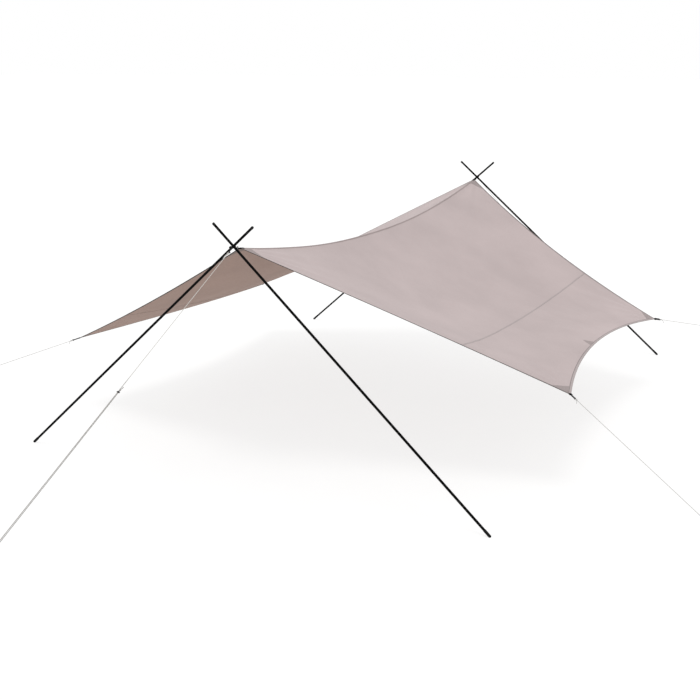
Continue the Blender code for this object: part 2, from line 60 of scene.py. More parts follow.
# Share of a cord's colour left where it is darker, and the metres before its adjuster where that starts and
# is full
CORD_DARKER_SHARE = (0.50, 0.49, 0.48)
CORD_DARKER_FROM = (-0.12, -0.05)

# Weave of the cloth, the webbing and the cords
THREAD_PITCH = 0.0011
HERRINGBONE_WIDTH = 0.0035
RIB_PITCH = 0.0016
STRANDS_AROUND = 4.0
STRANDS_PER_METRE = 210.0
TRACER_TURNS_PER_METRE = 52.0

# Bipods
CROSSING_HEIGHT = 1.80
CROSSING_Y = 2.365
FOOT_SPREAD = 2.023
BIPOD_LEAN = 0.057
REAR_TURN = math.radians(4.4)
POLE_BEYOND_CROSSING = 0.240
POLE_RADIUS = 0.0095
FOOT_LENGTH = 0.060
FOOT_RADIUS = 0.0105
POLE_OFFSET = 0.0132
KNOB_RADIUS = 0.0130
KNOB_LOBE = 0.09
SHAFT_RADIUS = 0.0040
NECK_RADIUS = 0.0028
NECK_BEND = 0.0060
NECK_REACH = 0.0085
EYE_RADIUS = 0.0080
EYE_BAR_RADIUS = 0.0030
RING_BAR_RADIUS = 0.0025
GAP = 0.0003

# On each bolt the outward end (1) has a hand knob and the inward end (-1) a nut
NUT_LENGTH = {1: 0.0120, -1: 0.0048}
EYE_DROP = {1: 0.032, -1: 0.011}
NUT_START = POLE_OFFSET + POLE_RADIUS + GAP

# Outlines of turned pieces, as (radius, height). The knob's radii are shares of its own, and those of
# the end cap and the foot are measured from the tube's and the foot's side. The foot's heights go
# down: the shoulder's from its top, and a rib's in shares of the ribs' pitch.
KNOB = ((0.30, 0.0), (0.74, 0.0), (0.80, 0.0006), (0.82, 0.0020), (0.97, 0.0034), (1.0, 0.0046),
        (1.0, 0.0098), (0.97, 0.0112), (0.90, 0.0119), (0.62, 0.0120), (0.54, 0.0112), (0.30, 0.0112))
COLLAR = ((0.0040, 0.0), (0.0076, 0.0), (0.0080, 0.0005))
WASHER = ((0.0040, 0.0), (0.0094, 0.0), (0.0096, 0.0003), (0.0096, 0.0009), (0.0094, 0.0012),
          (0.0040, 0.0012))
NUT_FOOT = ((0.0040, 0.0012), (0.0081, 0.0012), (0.0086, 0.0017))
NUT_HEAD = ((0.0086, -0.0008), (0.0078, 0.0), (0.0050, 0.0), (0.0046, -0.0004), (0.0040, -0.0004))
END_CAP = ((-0.0001, -0.024), (0.0005, -0.0235), (0.0007, -0.0225), (0.0007, -0.0045),
           (0.0003, -0.0022), (-0.0014, -0.0004), (-0.0035, 0.0004), (-POLE_RADIUS, 0.0006))
FOOT_SHOULDER = ((-0.0002, 0.0), (0.0003, 0.0012), (0.0003, 0.0060), (-0.0002, 0.0072))
FOOT_RIB = ((-0.0002, 0.0), (0.0005, 0.20), (0.0005, 0.55), (-0.0002, 0.75))
FOOT_RIBS = 9
FOOT_COLLAR = 0.004
FOOT_LIP = 0.0052
FOOT_PLAIN = 0.010
EYELET = ((0.0037, 0.0010), (0.0037, 0.0024), (0.0043, 0.0029), (0.0055, 0.0029), (0.0063, 0.0024),
          (0.0064, 0.0016))
SLIDER_RIM = ((0.0024, 0.0022), (0.0025, 0.0030), (0.0031, 0.0030), (0.0034, 0.0022))
PEG_HEAD = ((0.0072, 0.0004), (0.0082, 0.0011), (0.0085, 0.0022), (0.0085, 0.0044), (0.0081, 0.0056),
            (0.007055, 0.0075), (0.005355, 0.0091), (0.00306, 0.0101), (0.0, 0.0105))

# Canopy
RIDGE_HALF_LENGTH = 2.279
RIDGE_HEIGHT = 1.781
RIDGE_SAG = 0.213
CORNERS = {
    "front_right": (2.252, -1.466, 0.765),
    "rear_right": (2.194, 1.458, 0.659),
    "front_left": (-2.243, -1.564, 0.663),
    "rear_left": (-2.204, 1.455, 0.573),
}
EDGE_BOW = {
    "front_right": (0.065, -0.009),
    "rear_right": (0.102, -0.029),
    "front_left": (0.010, -0.027),
    "rear_left": (0.003, 0.005),
    "right": (0.174, 0.076),
    "left": (0.214, 0.058),
}
PANEL_DROOP = {"right": 0.154, "left": 0.043}
PANEL_SEAM = 0.671
CLOTH_HALF = 0.0006
HEM_OVERHANG = 0.0009
HEM_WIDTH = 0.022
HEM_HALF = 0.0017
# Width of the painted shadow line along each side hem's inner edge
HEM_SHADOW_STRIP = 0.005
BINDING_OVERHANG = 0.0011
BINDING_WIDTH = 0.013
BINDING_HALF = 0.0019
SEAM_HALF_BAND = 0.007
SEAM_HALF = 0.0015
RIDGE_HALF_BAND = 0.010
RIDGE_HALF = 0.0020

# Stitches: how far in from a band's edge a row runs, and the pitch, length, width and height of one
ROW_INSET = {"hem": 0.0035, "binding": 0.0030, "seam": 0.002, "ridge": 0.003}
CLOTH_STITCH = (0.0064, 0.0046, 0.0013, 0.0006)
PATCH_STITCH = (0.0060, 0.0044, 0.0013, 0.0007)
STRAP_STITCH = (0.0030, 0.0025, 0.0008, 0.0005)

# Tabs, guy lines, adjusters and pegs
TAB_LENGTH = {"corner": 0.068, "ridge": 0.036}
TAB_WIDTH = 0.025
TAB_BAR = 0.008
TAB_THICKNESS = 0.004
TIP_CUT = {"corner": 0.0125, "ridge": 0.0070}
STRAP_HALF = 0.0008
STRAP_LEVEL = 0.0009
STRAP_OVERLAP = {"corner": 0.003, "ridge": 0.040}
STRAP_BOX = (-0.036, -0.005)
STRAP_BOX_INSET = 0.003
STRAP_LIFT = 0.0032
STRAP_CLOSING = 0.0060
TAB_HALF_PLATE = 0.0018
EYELET_HOLE = 0.0040
EYELET_FROM_BAR = 0.0042
CORD_RADIUS = 0.0020
PEGS = {
    "front_ridge": (-0.010, -5.708),
    "rear_ridge": (0.0, 5.708),
    "front_right": (4.206, -2.860),
    "rear_right": (4.252, 3.629),
    "front_left": (-3.891, -2.900),
    "rear_left": (-4.252, 3.400),
}
PEG_LOOP_HEIGHT = 0.030
PEG_RADIUS = 0.0035

# Points of a guy line, in metres ahead of a place and off the line: at the bar before and after the
# loop round it, and past the adjuster on the way home
TIE_BEFORE = ((0.0150, 0.0010), (0.0095, 0.0040))
TIE_AFTER = ((0.0085, -0.0042), (0.0140, -0.0012), (0.0190, 0.0))
TIE_END = 0.0240
FREE_END = ((0.020, 0.0), (0.030, -0.002), (0.048, -0.007))
STOPPER_AT = 0.0175
STOPPER_SIZE = 0.0032
RIDGE_ADJUSTER_AT = 0.382
CORNER_ADJUSTER_AT = 0.72
ADJUSTER_HOLE_PITCH = 0.007
ADJUSTER_HOLE = 0.0024
ADJUSTER_HALF_LENGTH = 0.0102
ADJUSTER_HALF_WIDTH = 0.0062
ADJUSTER_HALF_PLATE = 0.0025

UP = Vector((0.0, 0.0, 1.0))
ENDS = {"front": -1, "rear": 1}
SIDES = {"right": 1, "left": -1}


# Mesh building

def add_object(name, data):
    obj = bpy.data.objects.new(name, data)
    bpy.context.collection.objects.link(obj)
    return obj


def arc(x, y, radius, first, step, count):
    """Points on a circle in a plane, from an angle on in equal steps, in degrees."""
    angles = [math.radians(first + step * k) for k in range(count)]
    return [(x + radius * math.cos(a), y + radius * math.sin(a)) for a in angles]


def circle(radius, sides, x=0.0):
    return arc(x, 0.0, radius, 0.0, 360.0 / sides, sides)


def rounded_box(x0, x1, half_height, corner0, corner1, steps):
    """Outline of a flat bar from x0 to x1 with rounded corners, steps points to each."""
    near, far = (x0 + corner0, corner0), (x1 - corner1, corner1)
    points = []
    for turn, ((x, radius), sign) in enumerate(((far, 1), (near, 1), (near, -1), (far, -1))):
        points += arc(x, sign * (half_height - radius), radius, 90.0 * turn, 90.0 / (steps - 1), steps)
    return points


def lengths_along(points):
    """Distance along a line of points, from 0 at the first."""
    return np.concatenate([[0.0], np.cumsum(np.linalg.norm(np.diff(points, axis=0), axis=1))])


class Bundle:
    """Collects pieces of mesh, with loop UVs and material slots, into one object."""

    def __init__(self):
        self.vertices, self.faces, self.uvs, self.slots = [], [], [], []
        self.count = 0

    def add(self, vertices, faces, uvs=(), slot=0):
        """Add mesh and return the bundle; the last faces may go without UVs."""
        vertices, uvs = np.reshape(vertices, (-1, 3)), np.reshape(uvs, (-1, 2))
        corners = sum(len(face) for face in faces)
        self.faces += [tuple(int(i) + self.count for i in face) for face in faces]
        self.vertices.append(vertices)
        self.uvs += [uvs, np.zeros((corners - len(uvs), 2))]
        self.slots += [slot] * len(faces)
        self.count += len(vertices)
        return self

    def build(self, name, looks, slot, body="canopy", smooth=40.0, replaces=()):
        """Make the object on its body, with materials by name and edges sharp above an angle in degrees."""
        mesh = bpy.data.meshes.new(name)
        mesh.from_pydata(np.concatenate(self.vertices).tolist(), [], self.faces)
        layer = mesh.uv_layers.new(name="length")
        layer.data.foreach_set("uv", np.concatenate(self.uvs).ravel())
        for look in looks:
            mesh.materials.append(bpy.data.materials[look])
        mesh.polygons.foreach_set("material_index", self.slots)
        if smooth:
            mesh.shade_smooth()
            mesh.set_sharp_from_angle(angle=math.radians(smooth))
        mesh.update()
        obj = add_object(name, mesh)
        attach(obj, body)
        if replaces:
            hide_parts(*replaces)
        return obj


def grid_faces(us, vs, closed=False):
    """Quads of a grid and their loop UVs, from each column's U and each row's V.

    A closed grid has one U more than columns, for where it meets itself.
    """
    us, vs = np.asarray(us), np.asarray(vs)
    count = len(us) - closed
    i, j = np.meshgrid(np.arange(len(vs) - 1), np.arange(len(us) - 1), indexing="ij")
    rows, columns = np.stack([i, i, i + 1, i + 1], -1), np.stack([j, j + 1, j + 1, j], -1)
    uvs = np.stack([us[columns], vs[rows]], -1)
    return (rows * count + columns % count).reshape(-1, 4), uvs.reshape(-1, 2)


def turn_shares(sides):
    """U round a closed ring, from 0 to 1."""
    return np.arange(sides + 1) / sides


def end_rings(rows, columns):
    """Corners of the first and last ring of a closed grid."""
    return list(range(columns)), list(range((rows - 1) * columns, rows * columns))


def tube(points, radius, sides):
    """Round tube along points, closed at its ends; its UV is (turn, metres along)."""
    points = [Vector(p) for p in points]
    ways = [(after - before).normalized() for before, after in zip(points, points[1:])]
    tangents = [(before + after).normalized() for before, after in zip(ways[:1] + ways, ways + ways[-1:])]
    side = tangents[0].orthogonal()
    ring, vertices = circle(radius, sides), []
    for point, tangent in zip(points, tangents):
        side = (side - tangent * side.dot(tangent)).normalized()
        other = tangent.cross(side)
        vertices += [point + side * x + other * y for x, y in ring]
    faces, uvs = grid_faces(turn_shares(sides), lengths_along(points), closed=True)
    first, last = end_rings(len(points), sides)
    return vertices, faces.tolist() + [first[::-1], last], np.concatenate([uvs, np.zeros((2 * sides, 2))])


def smooth_path(points, per_span=5):
    """Catmull-Rom curve through the points."""
    p = [np.array(q, dtype=float) for q in points]
    p = [2 * p[0] - p[1]] + p + [2 * p[-1] - p[-2]]
    made = []
    for a, b, c, d in zip(p, p[1:], p[2:], p[3:]):
        for k in range(per_span):
            t = k / per_span
            made.append(0.5 * (2 * b + (c - a) * t + (2 * a - 5 * b + 4 * c - d) * t ** 2
                               + (3 * b - a - 3 * c + d) * t ** 3))
    made.append(p[-2])
    return made


def lathe(outline, sides, matrix, closed=False):
    """Turn a (radius, height) outline about the matrix's Z axis."""
    outline = list(outline) + list(outline[:1] if closed else ())
    vertices = [matrix @ Vector((x, y, height)) for radius, height in outline
                for x, y in circle(max(radius, 1e-6), sides)]
    return vertices, *grid_faces(turn_shares(sides), lengths_along(outline), closed=True)


def torus(major, minor, ring_sides, bar_sides, matrix):
    """A ring about the matrix's Z axis."""
    return lathe(circle(minor, bar_sides, major), ring_sides, matrix, closed=True)


def moved(outline, upward=0.0, direction=1, outward=0.0):
    """An outline shifted along both axes, and then mirrored in height if direction is -1."""
    return [(radius + outward, direction * (height + upward)) for radius, height in outline]


def add_rims(bundle, outline, x, sides, matrix):
    """Rims on both faces of a plate, round a hole at x."""
    at_hole = matrix @ Matrix.Translation((x, 0.0, 0.0))
    for direction in (1, -1):
        bundle.add(*lathe(moved(outline, direction=direction), sides, at_hole))


def frame_matrix(origin, x_axis, y_axis, z_axis):
    matrix = Matrix((x_axis, y_axis, z_axis)).transposed().to_4x4()
    matrix.translation = origin
    return matrix


# Materials

class Look:
    """A Principled material, with short calls for the nodes that feed it."""

    def __init__(self, name, color, roughness, sheen=0.0, specular=0.5):
        self.color = color
        self.material = bpy.data.materials.new(name)
        self.material.use_nodes = True
        self.tree = self.material.node_tree
        self.shader = self.tree.nodes["Principled BSDF"]
        for socket, value in (("Base Color", (*color, 1.0)), ("Roughness", roughness),
                              ("Specular IOR Level", specular), ("Sheen Weight", sheen)):
            self.set(socket, value)
        places = self.tree.nodes.new("ShaderNodeTexCoord")
        self.place = places.outputs["Object"]
        self.uv = places.outputs["UV"]

    def feed(self, node, socket, value):
        """Give an input a number, a colour or another node's output."""
        if isinstance(value, bpy.types.NodeSocket):
            self.tree.links.new(value, node.inputs[socket])
        else:
            node.inputs[socket].default_value = value

    def set(self, socket, value):
        self.feed(self.shader, socket, value)

    def node(self, kind, inputs, settings=()):
        node = self.tree.nodes.new("ShaderNode" + kind)
        for setting, value in settings:
            setattr(node, setting, value)
        for socket, value in inputs:
            self.feed(node, socket, value)
        return node

    def math(self, operation, *values):
        return self.node("Math", enumerate(values), [("operation", operation)]).outputs[0]

    def wave(self, value, pitch):
        return self.math("SINE", self.math("MULTIPLY", value, 2.0 * math.pi / pitch))

    def noise(self, scale, detail=4.0, roughness=0.55):
        inputs = [("Scale", scale), ("Detail", detail), ("Roughness", roughness), ("Vector", self.place)]
        return self.node("TexNoise", inputs).outputs["Fac"]

    def uv_axes(self):
        split = self.node("SeparateXYZ", [(0, self.uv)])
        return split.outputs[0], split.outputs[1]

    def shades(self, factor, *stops):
        """Ramp over (position, share of the look's colour)."""
        node = self.node("ValToRGB", [(0, factor)])
        elements = node.color_ramp.elements
        while len(elements) < len(stops):
            elements.new(0.5)
        for element, (position, share) in zip(elements, stops):
            element.position = position
            element.color = (*(channel * share for channel in self.color), 1.0)
        return node.outputs[0]

    def range(self, value, *limits):
        """Map a value from the first two limits to the last two."""
        inputs = list(zip(("From Min", "From Max", "To Min", "To Max"), limits))
        return self.node("MapRange", inputs + [("Value", value)]).outputs["Result"]

    def mix(self, factor, a, b, blend="MIX"):
        inputs = [("Factor", factor), ("A", a), ("B", (*b, 1.0))]
        return self.node("Mix", inputs, [("data_type", "RGBA"), ("blend_type", blend)]).outputs["Result"]

    def bump(self, *heights):
        """Chain of bumps; each is (height output, strength, distance)."""
        normal = None
        for height, strength, distance in heights:
            inputs = [("Strength", strength), ("Distance", distance), ("Height", height)]
            if normal is not None:
                inputs.append(("Normal", normal))
            normal = self.node("Bump", inputs).outputs["Normal"]
        self.set("Normal", normal)


def make_cloth(name, color, sheen):
    """Plain-woven polyester: threads that swap over and under, soft creases and slow changes of tone."""
    look = Look(name, color, 0.78, sheen, 0.25)
    look.set("Sheen Roughness", 0.5)
    look.set("Base Color", look.shades(look.noise(1.7, 3.0), (0.30, 0.94), (0.50, 1.0), (0.72, 1.06)))
    look.set("Roughness", look.range(look.noise(34.0, 5.0), 0.3, 0.7, 0.70, 0.86))
    u, v = look.uv_axes()
    weave = look.math("MULTIPLY", look.wave(u, THREAD_PITCH), look.wave(v, THREAD_PITCH))
    look.bump((look.noise(7.0, 6.0, 0.6), 0.25, 0.010), (weave, 0.25, 0.00020))


def make_webbing(name, color):
    """Narrow woven tape with a herringbone rib and paler worn rubs."""
    look = Look(name, color, 0.72, specular=0.08)
    wear = look.noise(60.0, 6.0, 0.65)
    look.set("Base Color", look.shades(wear, (0.35, 0.75), (0.55, 1.0), (0.78, 1.9)))
    u, v = look.uv_axes()
    slope = look.math("PINGPONG", u, HERRINGBONE_WIDTH)
    look.bump((look.wave(look.math("ADD", v, slope), RIB_PITCH), 0.8, 0.00025))


def make_braid(name, color, fleck):
    """Braided cord: strands that cross round it, a darker tracer, and a darker colour from shortly before
    the adjuster on.
    """
    look = Look(name, color, 0.66, 0.2, 0.3)
    turn, length = look.uv_axes()
    rise = look.math("MULTIPLY", length, STRANDS_PER_METRE)
    around = look.math("MULTIPLY", turn, STRANDS_AROUND)
    right_lay = look.wave(look.math("ADD", around, rise), 1.0)
    left_lay = look.wave(look.math("SUBTRACT", around, rise), 1.0)
    tracer = look.wave(look.math("ADD", turn, look.math("MULTIPLY", length, TRACER_TURNS_PER_METRE)), 1.0)
    tracer = look.math("MULTIPLY", look.range(tracer, 0.90, 0.97, 0.0, 1.0), 0.8)
    cross = look.range(look.math("MULTIPLY", right_lay, left_lay), -1.0, 1.0, 0.0, 1.0)
    undarkened = look.shades(cross, (0.0, 0.78), (0.7, 1.0))
    # Darker from shortly before the adjuster on, down to the peg and back
    darkened = look.mix(look.range(length, *CORD_DARKER_FROM, 0.0, 1.0), undarkened, CORD_DARKER_SHARE, "MULTIPLY")
    look.set("Base Color", look.mix(tracer, darkened, fleck))
    look.bump((look.math("MAXIMUM", right_lay, left_lay), 0.7, 0.00035))


def make_hard(name, color, roughness, specular, grain, patches, stops, rough, bump):
    """Coated metal or moulded plastic: fine grain, and patches of rub or dust that show paler."""
    look = Look(name, color, roughness, specular=specular)
    worn = look.noise(*patches)
    look.set("Base Color", look.shades(worn, *stops))
    low, high, smoother, rougher = rough
    look.set("Roughness", look.range(worn, low, high, roughness - smoother, roughness + rougher))
    look.bump((look.noise(*grain), *bump))


def make_coated(name, color, roughness, grain, specular):
    """Powder coat with orange peel and rubs."""
    make_hard(name, color, roughness, specular, (grain, 3.0), (26.0, 8.0, 0.7),
              ((0.0, 1.0), (0.62, 1.0), (0.80, 2.6)), (0.3, 0.75, 0.06, 0.12), (0.18, 0.0003))


def make_moulded(name, color, roughness):
    """Moulded plastic or rubber with a fine spark-eroded grain and dust."""
    make_hard(name, color, roughness, 0.15, (900.0, 2.0), (45.0, 6.0, 0.7),
              ((0.40, 1.0), (0.75, 2.2)), (0.3, 0.7, 0.05, 0.10), (0.30, 0.00025))


def make_thread(name, color):
    look = Look(name, color, 0.6, 0.3, 0.3)
    look.set("Base Color", look.shades(look.noise(300.0, 2.0), (0.35, 0.8), (0.65, 1.15)))


# Camera, light and floor

def set_camera():
    camera = add_object("camera", bpy.data.cameras.new("camera"))
    camera.data.sensor_width = 36.0
    camera.data.lens = CAMERA_LENS
    camera.data.clip_end = 200.0
    turns = ((CAMERA_AZIMUTH, "Z"), (90.0 - CAMERA_ELEVATION, "X"), (CAMERA_ROLL, "Z"))
    place = Matrix.Translation(CAMERA_AT)
    for angle, axis in turns:
        place = place @ Matrix.Rotation(math.radians(angle), 4, axis)
    camera.matrix_world = place
    bpy.context.scene.camera = camera


def set_light():
    """White all round, with a broad soft key light from above."""
    scene = bpy.context.scene
    scene.view_settings.view_transform = "Standard"
    scene.world = bpy.data.worlds.new("studio")
    scene.world.use_nodes = True
    background = scene.world.node_tree.nodes["Background"]
    background.inputs["Color"].default_value = (1.0, 1.0, 1.0, 1.0)
    background.inputs["Strength"].default_value = 1.0
    key = add_object("key", bpy.data.lights.new("key", "SUN"))
    key.data.energy = KEY_STRENGTH
    key.data.angle = math.radians(KEY_WIDTH)
    key.data.color = KEY_COLOR
    key.rotation_mode = "QUATERNION"
    key.rotation_quaternion = Vector(KEY_FROM).normalized().to_track_quat("Z", "Y")


def make_floor():
    look = Look("pale floor", (0.20, 0.20, 0.20), 0.85, specular=0.05)
    look.set("Base Color", look.shades(look.noise(0.6, 3.0), (0.3, 0.95), (0.7, 1.05)))
    look.set("Emission Color", (1.0, 1.0, 1.0, 1.0))
    look.set("Emission Strength", FLOOR_GLOW)
    mesh = bpy.data.meshes.new("floor")
    corners = [(x * FLOOR_REACH, y * FLOOR_REACH, -0.001) for x, y in ((-1, -1), (1, -1), (1, 1), (-1, 1))]
    mesh.from_pydata(corners, [], [(0, 1, 2, 3)])
    mesh.materials.append(look.material)
    add_object("floor", mesh)


# Canopy surface

def edge_curve(start, end, bow, t):
    """Points on an edge that bows inward and up from the straight line between two corners."""
    inward, rise = bow
    chord = end - start
    normal = np.array([-chord[1], chord[0], 0.0]) / math.hypot(chord[0], chord[1])
    if normal @ (start + end) > 0.0:
        normal = -normal
    t = t[..., None]
    return start + chord * t + (normal * inward + (0.0, 0.0, rise)) * (4.0 * t * (1.0 - t))


def between(start, end, share):
    return start + (end - start) * share


def half_surface(side, u, v):
    """One half: u runs from the ridge to the side edge, v from the front to the rear."""
    front, rear = (np.array([0.0, end * RIDGE_HALF_LENGTH, RIDGE_HEIGHT]) for end in ENDS.values())
    near, far = (np.array(CORNERS[f"{end}_{side}"]) for end in ENDS)
    front_edge = edge_curve(front, near, EDGE_BOW[f"front_{side}"], u)
    rear_edge = edge_curve(rear, far, EDGE_BOW[f"rear_{side}"], u)
    ridge, edge = edge_curve(front, rear, (0.0, -RIDGE_SAG), v), edge_curve(near, far, EDGE_BOW[side], v)
    u, v = u[..., None], v[..., None]
    corners = between(between(front, near, u), between(rear, far, u), v)
    droop = PANEL_DROOP[side] * 16.0 * u * (1.0 - u) * v * (1.0 - v)
    return between(ridge, edge, u) + between(front_edge, rear_edge, v) - corners - droop * (0.0, 0.0, 1.0)


def base_surface(u, v):
    """The whole canopy: u from -1 at the left edge to 1 at the right edge."""
    u, v = np.broadcast_arrays(np.asarray(u, dtype=float), np.asarray(v, dtype=float))
    right, left = half_surface("right", np.abs(u), v), half_surface("left", np.abs(u), v)
    return np.where((u >= 0.0)[..., None], right, left)


def slopes(u, v, step=0.002):
    """Vectors, in metres, that a unit of u and of v make on the canopy."""
    return ((base_surface(u + step, v) - base_surface(u - step, v)) / (2.0 * step),
            (base_surface(u, v + step) - base_surface(u, v - step)) / (2.0 * step))


def unit(vectors):
    return vectors / np.linalg.norm(vectors, axis=-1, keepdims=True)


def surface_steps(u, v):
    """Metre lengths of a unit of u and of v, and the upward unit normal."""
    du, dv = slopes(u, v)
    normal = unit(np.cross(du, dv))
    normal *= np.sign(normal[..., 2:3])
    return np.linalg.norm(du, axis=-1), np.linalg.norm(dv, axis=-1), normal


# Pull creases at the tips of each u: number of folds in a full turn, height and reach
PULLS = {0.0: (24.0, 0.0050, 0.95), 1.0: (19.0, 0.0045, 0.60), -1.0: (19.0, 0.0045, 0.60)}
CREASE_START = 0.35
WAVE_HEIGHT = 0.0045
HEM_CALM = 0.12


def crowded(count, gather):
    """Values from 0 to 1 that stand closer together towards both ends."""
    t = np.linspace(0.0, 1.0, count)
    return t - gather * np.sin(2.0 * np.pi * t) / (2.0 * np.pi)


HALF_NODES = crowded(79, 0.45)
U_NODES = np.concatenate([-HALF_NODES[:0:-1], HALF_NODES])
V_NODES = crowded(201, 0.50)


def smooth_step(t):
    t = np.clip(t, 0.0, 1.0)
    return t * t * (3.0 - 2.0 * t)


def fold_heights():
    """Heights, at the sheet's nodes, of shallow folds that spread from the tips and of slow waves."""
    u, v = np.meshgrid(U_NODES, V_NODES)
    place = base_surface(u, v)
    span, length, _ = surface_steps(u, v)
    hem_fade = smooth_step((1.0 - np.abs(u)) * span / HEM_CALM)
    hem_fade *= smooth_step(np.minimum(v, 1.0 - v) * length / HEM_CALM)
    height = np.zeros(u.shape)
    for tip_u, (folds, size, reach) in PULLS.items():
        for tip_v in (0.0, 1.0):
            away = place - base_surface(tip_u, tip_v)
            distance = np.linalg.norm(away, axis=-1)
            angle = folds * np.arctan2(away[..., 1], away[..., 0])
            wave = np.sin(angle + 3.0 * tip_u + 1.3 * tip_v) + 0.5 * np.sin(0.62 * angle + 1.0 + tip_v)
            height += size * smooth_step(distance / CREASE_START) * np.exp(-distance / reach) * wave
    slow = 0.5 * np.sin(5.1 * u + 9.0 * v + 0.6) * np.sin(11.0 * v - 2.3 * u)
    slow += 0.35 * np.sin(14.0 * v + 7.0 * u * u + 1.1) * np.cos(6.3 * u - 0.4)
    return (height + WAVE_HEIGHT * slow) * hem_fade


FOLDS = fold_heights()


def cell(nodes, value):
    """Index of the node before a value, and the share of the way from it to the next."""
    value = np.clip(value, nodes[0], nodes[-1])
    index = np.clip(np.searchsorted(nodes, value, side="right") - 1, 0, len(nodes) - 2)
    return index, (value - nodes[index]) / (nodes[index + 1] - nodes[index])


def fold_height(u, v):
    """Height of the folds anywhere, straight between the sheet's nodes as its triangles are."""
    (j, x), (i, y) = cell(U_NODES, u), cell(V_NODES, v)
    a, b, c, d = FOLDS[i, j], FOLDS[i, j + 1], FOLDS[i + 1, j + 1], FOLDS[i + 1, j]
    return np.where(x >= y, a + x * (b - a) + y * (c - b), a + y * (d - a) + x * (c - d))


def canopy(u, v, lift=0.0):
    """Point on the dressed canopy, lifted along its normal."""
    u, v = np.broadcast_arrays(np.asarray(u, dtype=float), np.asarray(v, dtype=float))
    _, _, normal = surface_steps(u, v)
    return base_surface(u, v) + normal * (fold_height(u, v) + lift)[..., None]


def make_canopy_sheet():
    """One continuous sheet with an outer face and an underside."""
    u, v = np.meshgrid(U_NODES, V_NODES)
    span, length, _ = surface_steps(u, v)
    quads, _ = grid_faces(U_NODES, V_NODES)
    faces = np.concatenate([quads[:, [0, 1, 2]], quads[:, [0, 2, 3]]])
    uvs = np.stack([(u * span).ravel()[faces], (v * length).ravel()[faces]], -1)
    bundle = Bundle()
    bundle.add(canopy(u, v, CLOTH_HALF), faces, uvs, 0)
    bundle.add(canopy(u, v, -CLOTH_HALF), faces[:, ::-1], uvs[:, ::-1], 1)
    index = np.arange(u.size).reshape(u.shape)
    rim = np.concatenate([index[0, :-1], index[:-1, -1], index[-1, :0:-1], index[:0:-1, 0]])
    after = np.roll(rim, -1)
    edge = np.stack([rim, rim + u.size, after + u.size, after], -1)
    bundle.faces += [tuple(face) for face in edge.tolist()]
    bundle.slots += [0] * len(edge)
    bundle.uvs.append(np.zeros((4 * len(edge), 2)))
    panels = [f"{side}_{part}_panel" for side in SIDES for part in ("inner", "outer")]
    # The underside's darker, warmer colour is painted shade, with light through the cloth; it is the same
    # cloth as the outer face
    looks = ["tarp cloth outer", "tarp cloth underside painted shade"]
    return bundle.build("canopy_sheet", looks, "canopy_cloth", smooth=60.0, replaces=panels)


def edge_lines():
    """Each free edge: u and v along it, and the (u, v) direction that points into the cloth."""
    ends = [(sign * HALF_NODES, v, (0.0, 1.0 - 2.0 * v)) for v in (0.0, 1.0) for sign in (1.0, -1.0)]
    return ends + [(sign, V_NODES, (-sign, 0.0)) for sign in (1.0, -1.0)]


def offset_line(u, v, inward, distance, lift):
    """A line at a metre distance from (u, v) towards inward, lifted off the cloth."""
    span, length, _ = surface_steps(u, v)
    return canopy(u + inward[0] * distance / span, v + inward[1] * distance / length, lift)


def add_band(bundle, u, v, inward, section, top_slot=0, low_slot=1, shadow_strip_slot=None):
    """Band along an edge or seam, from its (distance, lift) section; a strip slot colours its third face,
    for a painted shadow line.
    """
    grid = np.stack([offset_line(u, v, inward, distance, lift) for distance, lift in section], axis=1)
    faces, uvs = grid_faces(lengths_along(section + section[:1]), lengths_along(grid[:, 0]), closed=True)
    bar = 0.2 * max(lift for _, lift in section)
    slots = [top_slot if h0 + h1 > bar else low_slot
             for (_, h0), (_, h1) in zip(section, section[1:] + section[:1])]
    if shadow_strip_slot is not None:
        slots[2] = shadow_strip_slot
    first, last = end_rings(len(grid), len(section))
    bundle.add(grid, faces.tolist() + [first, last[::-1]], uvs)
    bundle.slots[-len(faces) - 2:] = slots * (len(grid) - 1) + [low_slot, low_slot]


def make_hems():
    """Wide pale hems down the side edges, and narrow dark bindings along the front and rear edges."""
    bundle = Bundle()
    side = rounded_box(-HEM_OVERHANG, HEM_WIDTH, HEM_HALF, 0.0007, 0.0007, 3)
    # The hem's top is split short of its inner edge so that this narrow strip takes the dark binding
    # colour: a painted shadow line
    side.insert(3, (HEM_WIDTH - HEM_SHADOW_STRIP, HEM_HALF))
    binding = rounded_box(-BINDING_OVERHANG, BINDING_WIDTH, BINDING_HALF, 0.0008, 0.0008, 3)
    for u, v, inward in edge_lines():
        if inward[0] == 0.0:
            add_band(bundle, u, v, inward, binding, top_slot=2, low_slot=3)
        else:
            # Slot 2, the binding's colour, paints the shadow line along the hem's inner edge
            add_band(bundle, u, v, inward, side, shadow_strip_slot=2)
    # The hems' and bindings' undersides and outer rims take much darker colours than their tops: painted
    # shade, for the dark line along the edges
    looks = ["hem cloth outer", "hem cloth underside painted shade", "edge binding", "edge binding underside painted shade"]
    return bundle.build("canopy_hems", looks, "canopy_cloth", smooth=50.0)


def make_seams():
    """Flat-felled seams along the ridge and between the inner and outer panels."""
    bundle = Bundle()
    ridge = rounded_box(-RIDGE_HALF_BAND, RIDGE_HALF_BAND, RIDGE_HALF, 0.0008, 0.0008, 3)
    ridge = ridge[:3] + [(0.0, RIDGE_HALF)] + ridge[3:9] + [(0.0, -RIDGE_HALF)] + ridge[9:]
    add_band(bundle, 0.0, V_NODES, (1.0, 0.0), ridge, 2, 2)
    felled = rounded_box(-SEAM_HALF_BAND, SEAM_HALF_BAND, SEAM_HALF, 0.0006, 0.0006, 3)
    for direction in SIDES.values():
        add_band(bundle, direction * PANEL_SEAM, V_NODES, (1.0, 0.0), felled)
    # The seams' underside colour is painted shade, darker and warmer like the sheet's underside
    looks = ["hem cloth outer", "seam cloth underside painted shade", "ridge tape"]
    return bundle.build("canopy_seams", looks, "canopy_cloth", smooth=50.0)


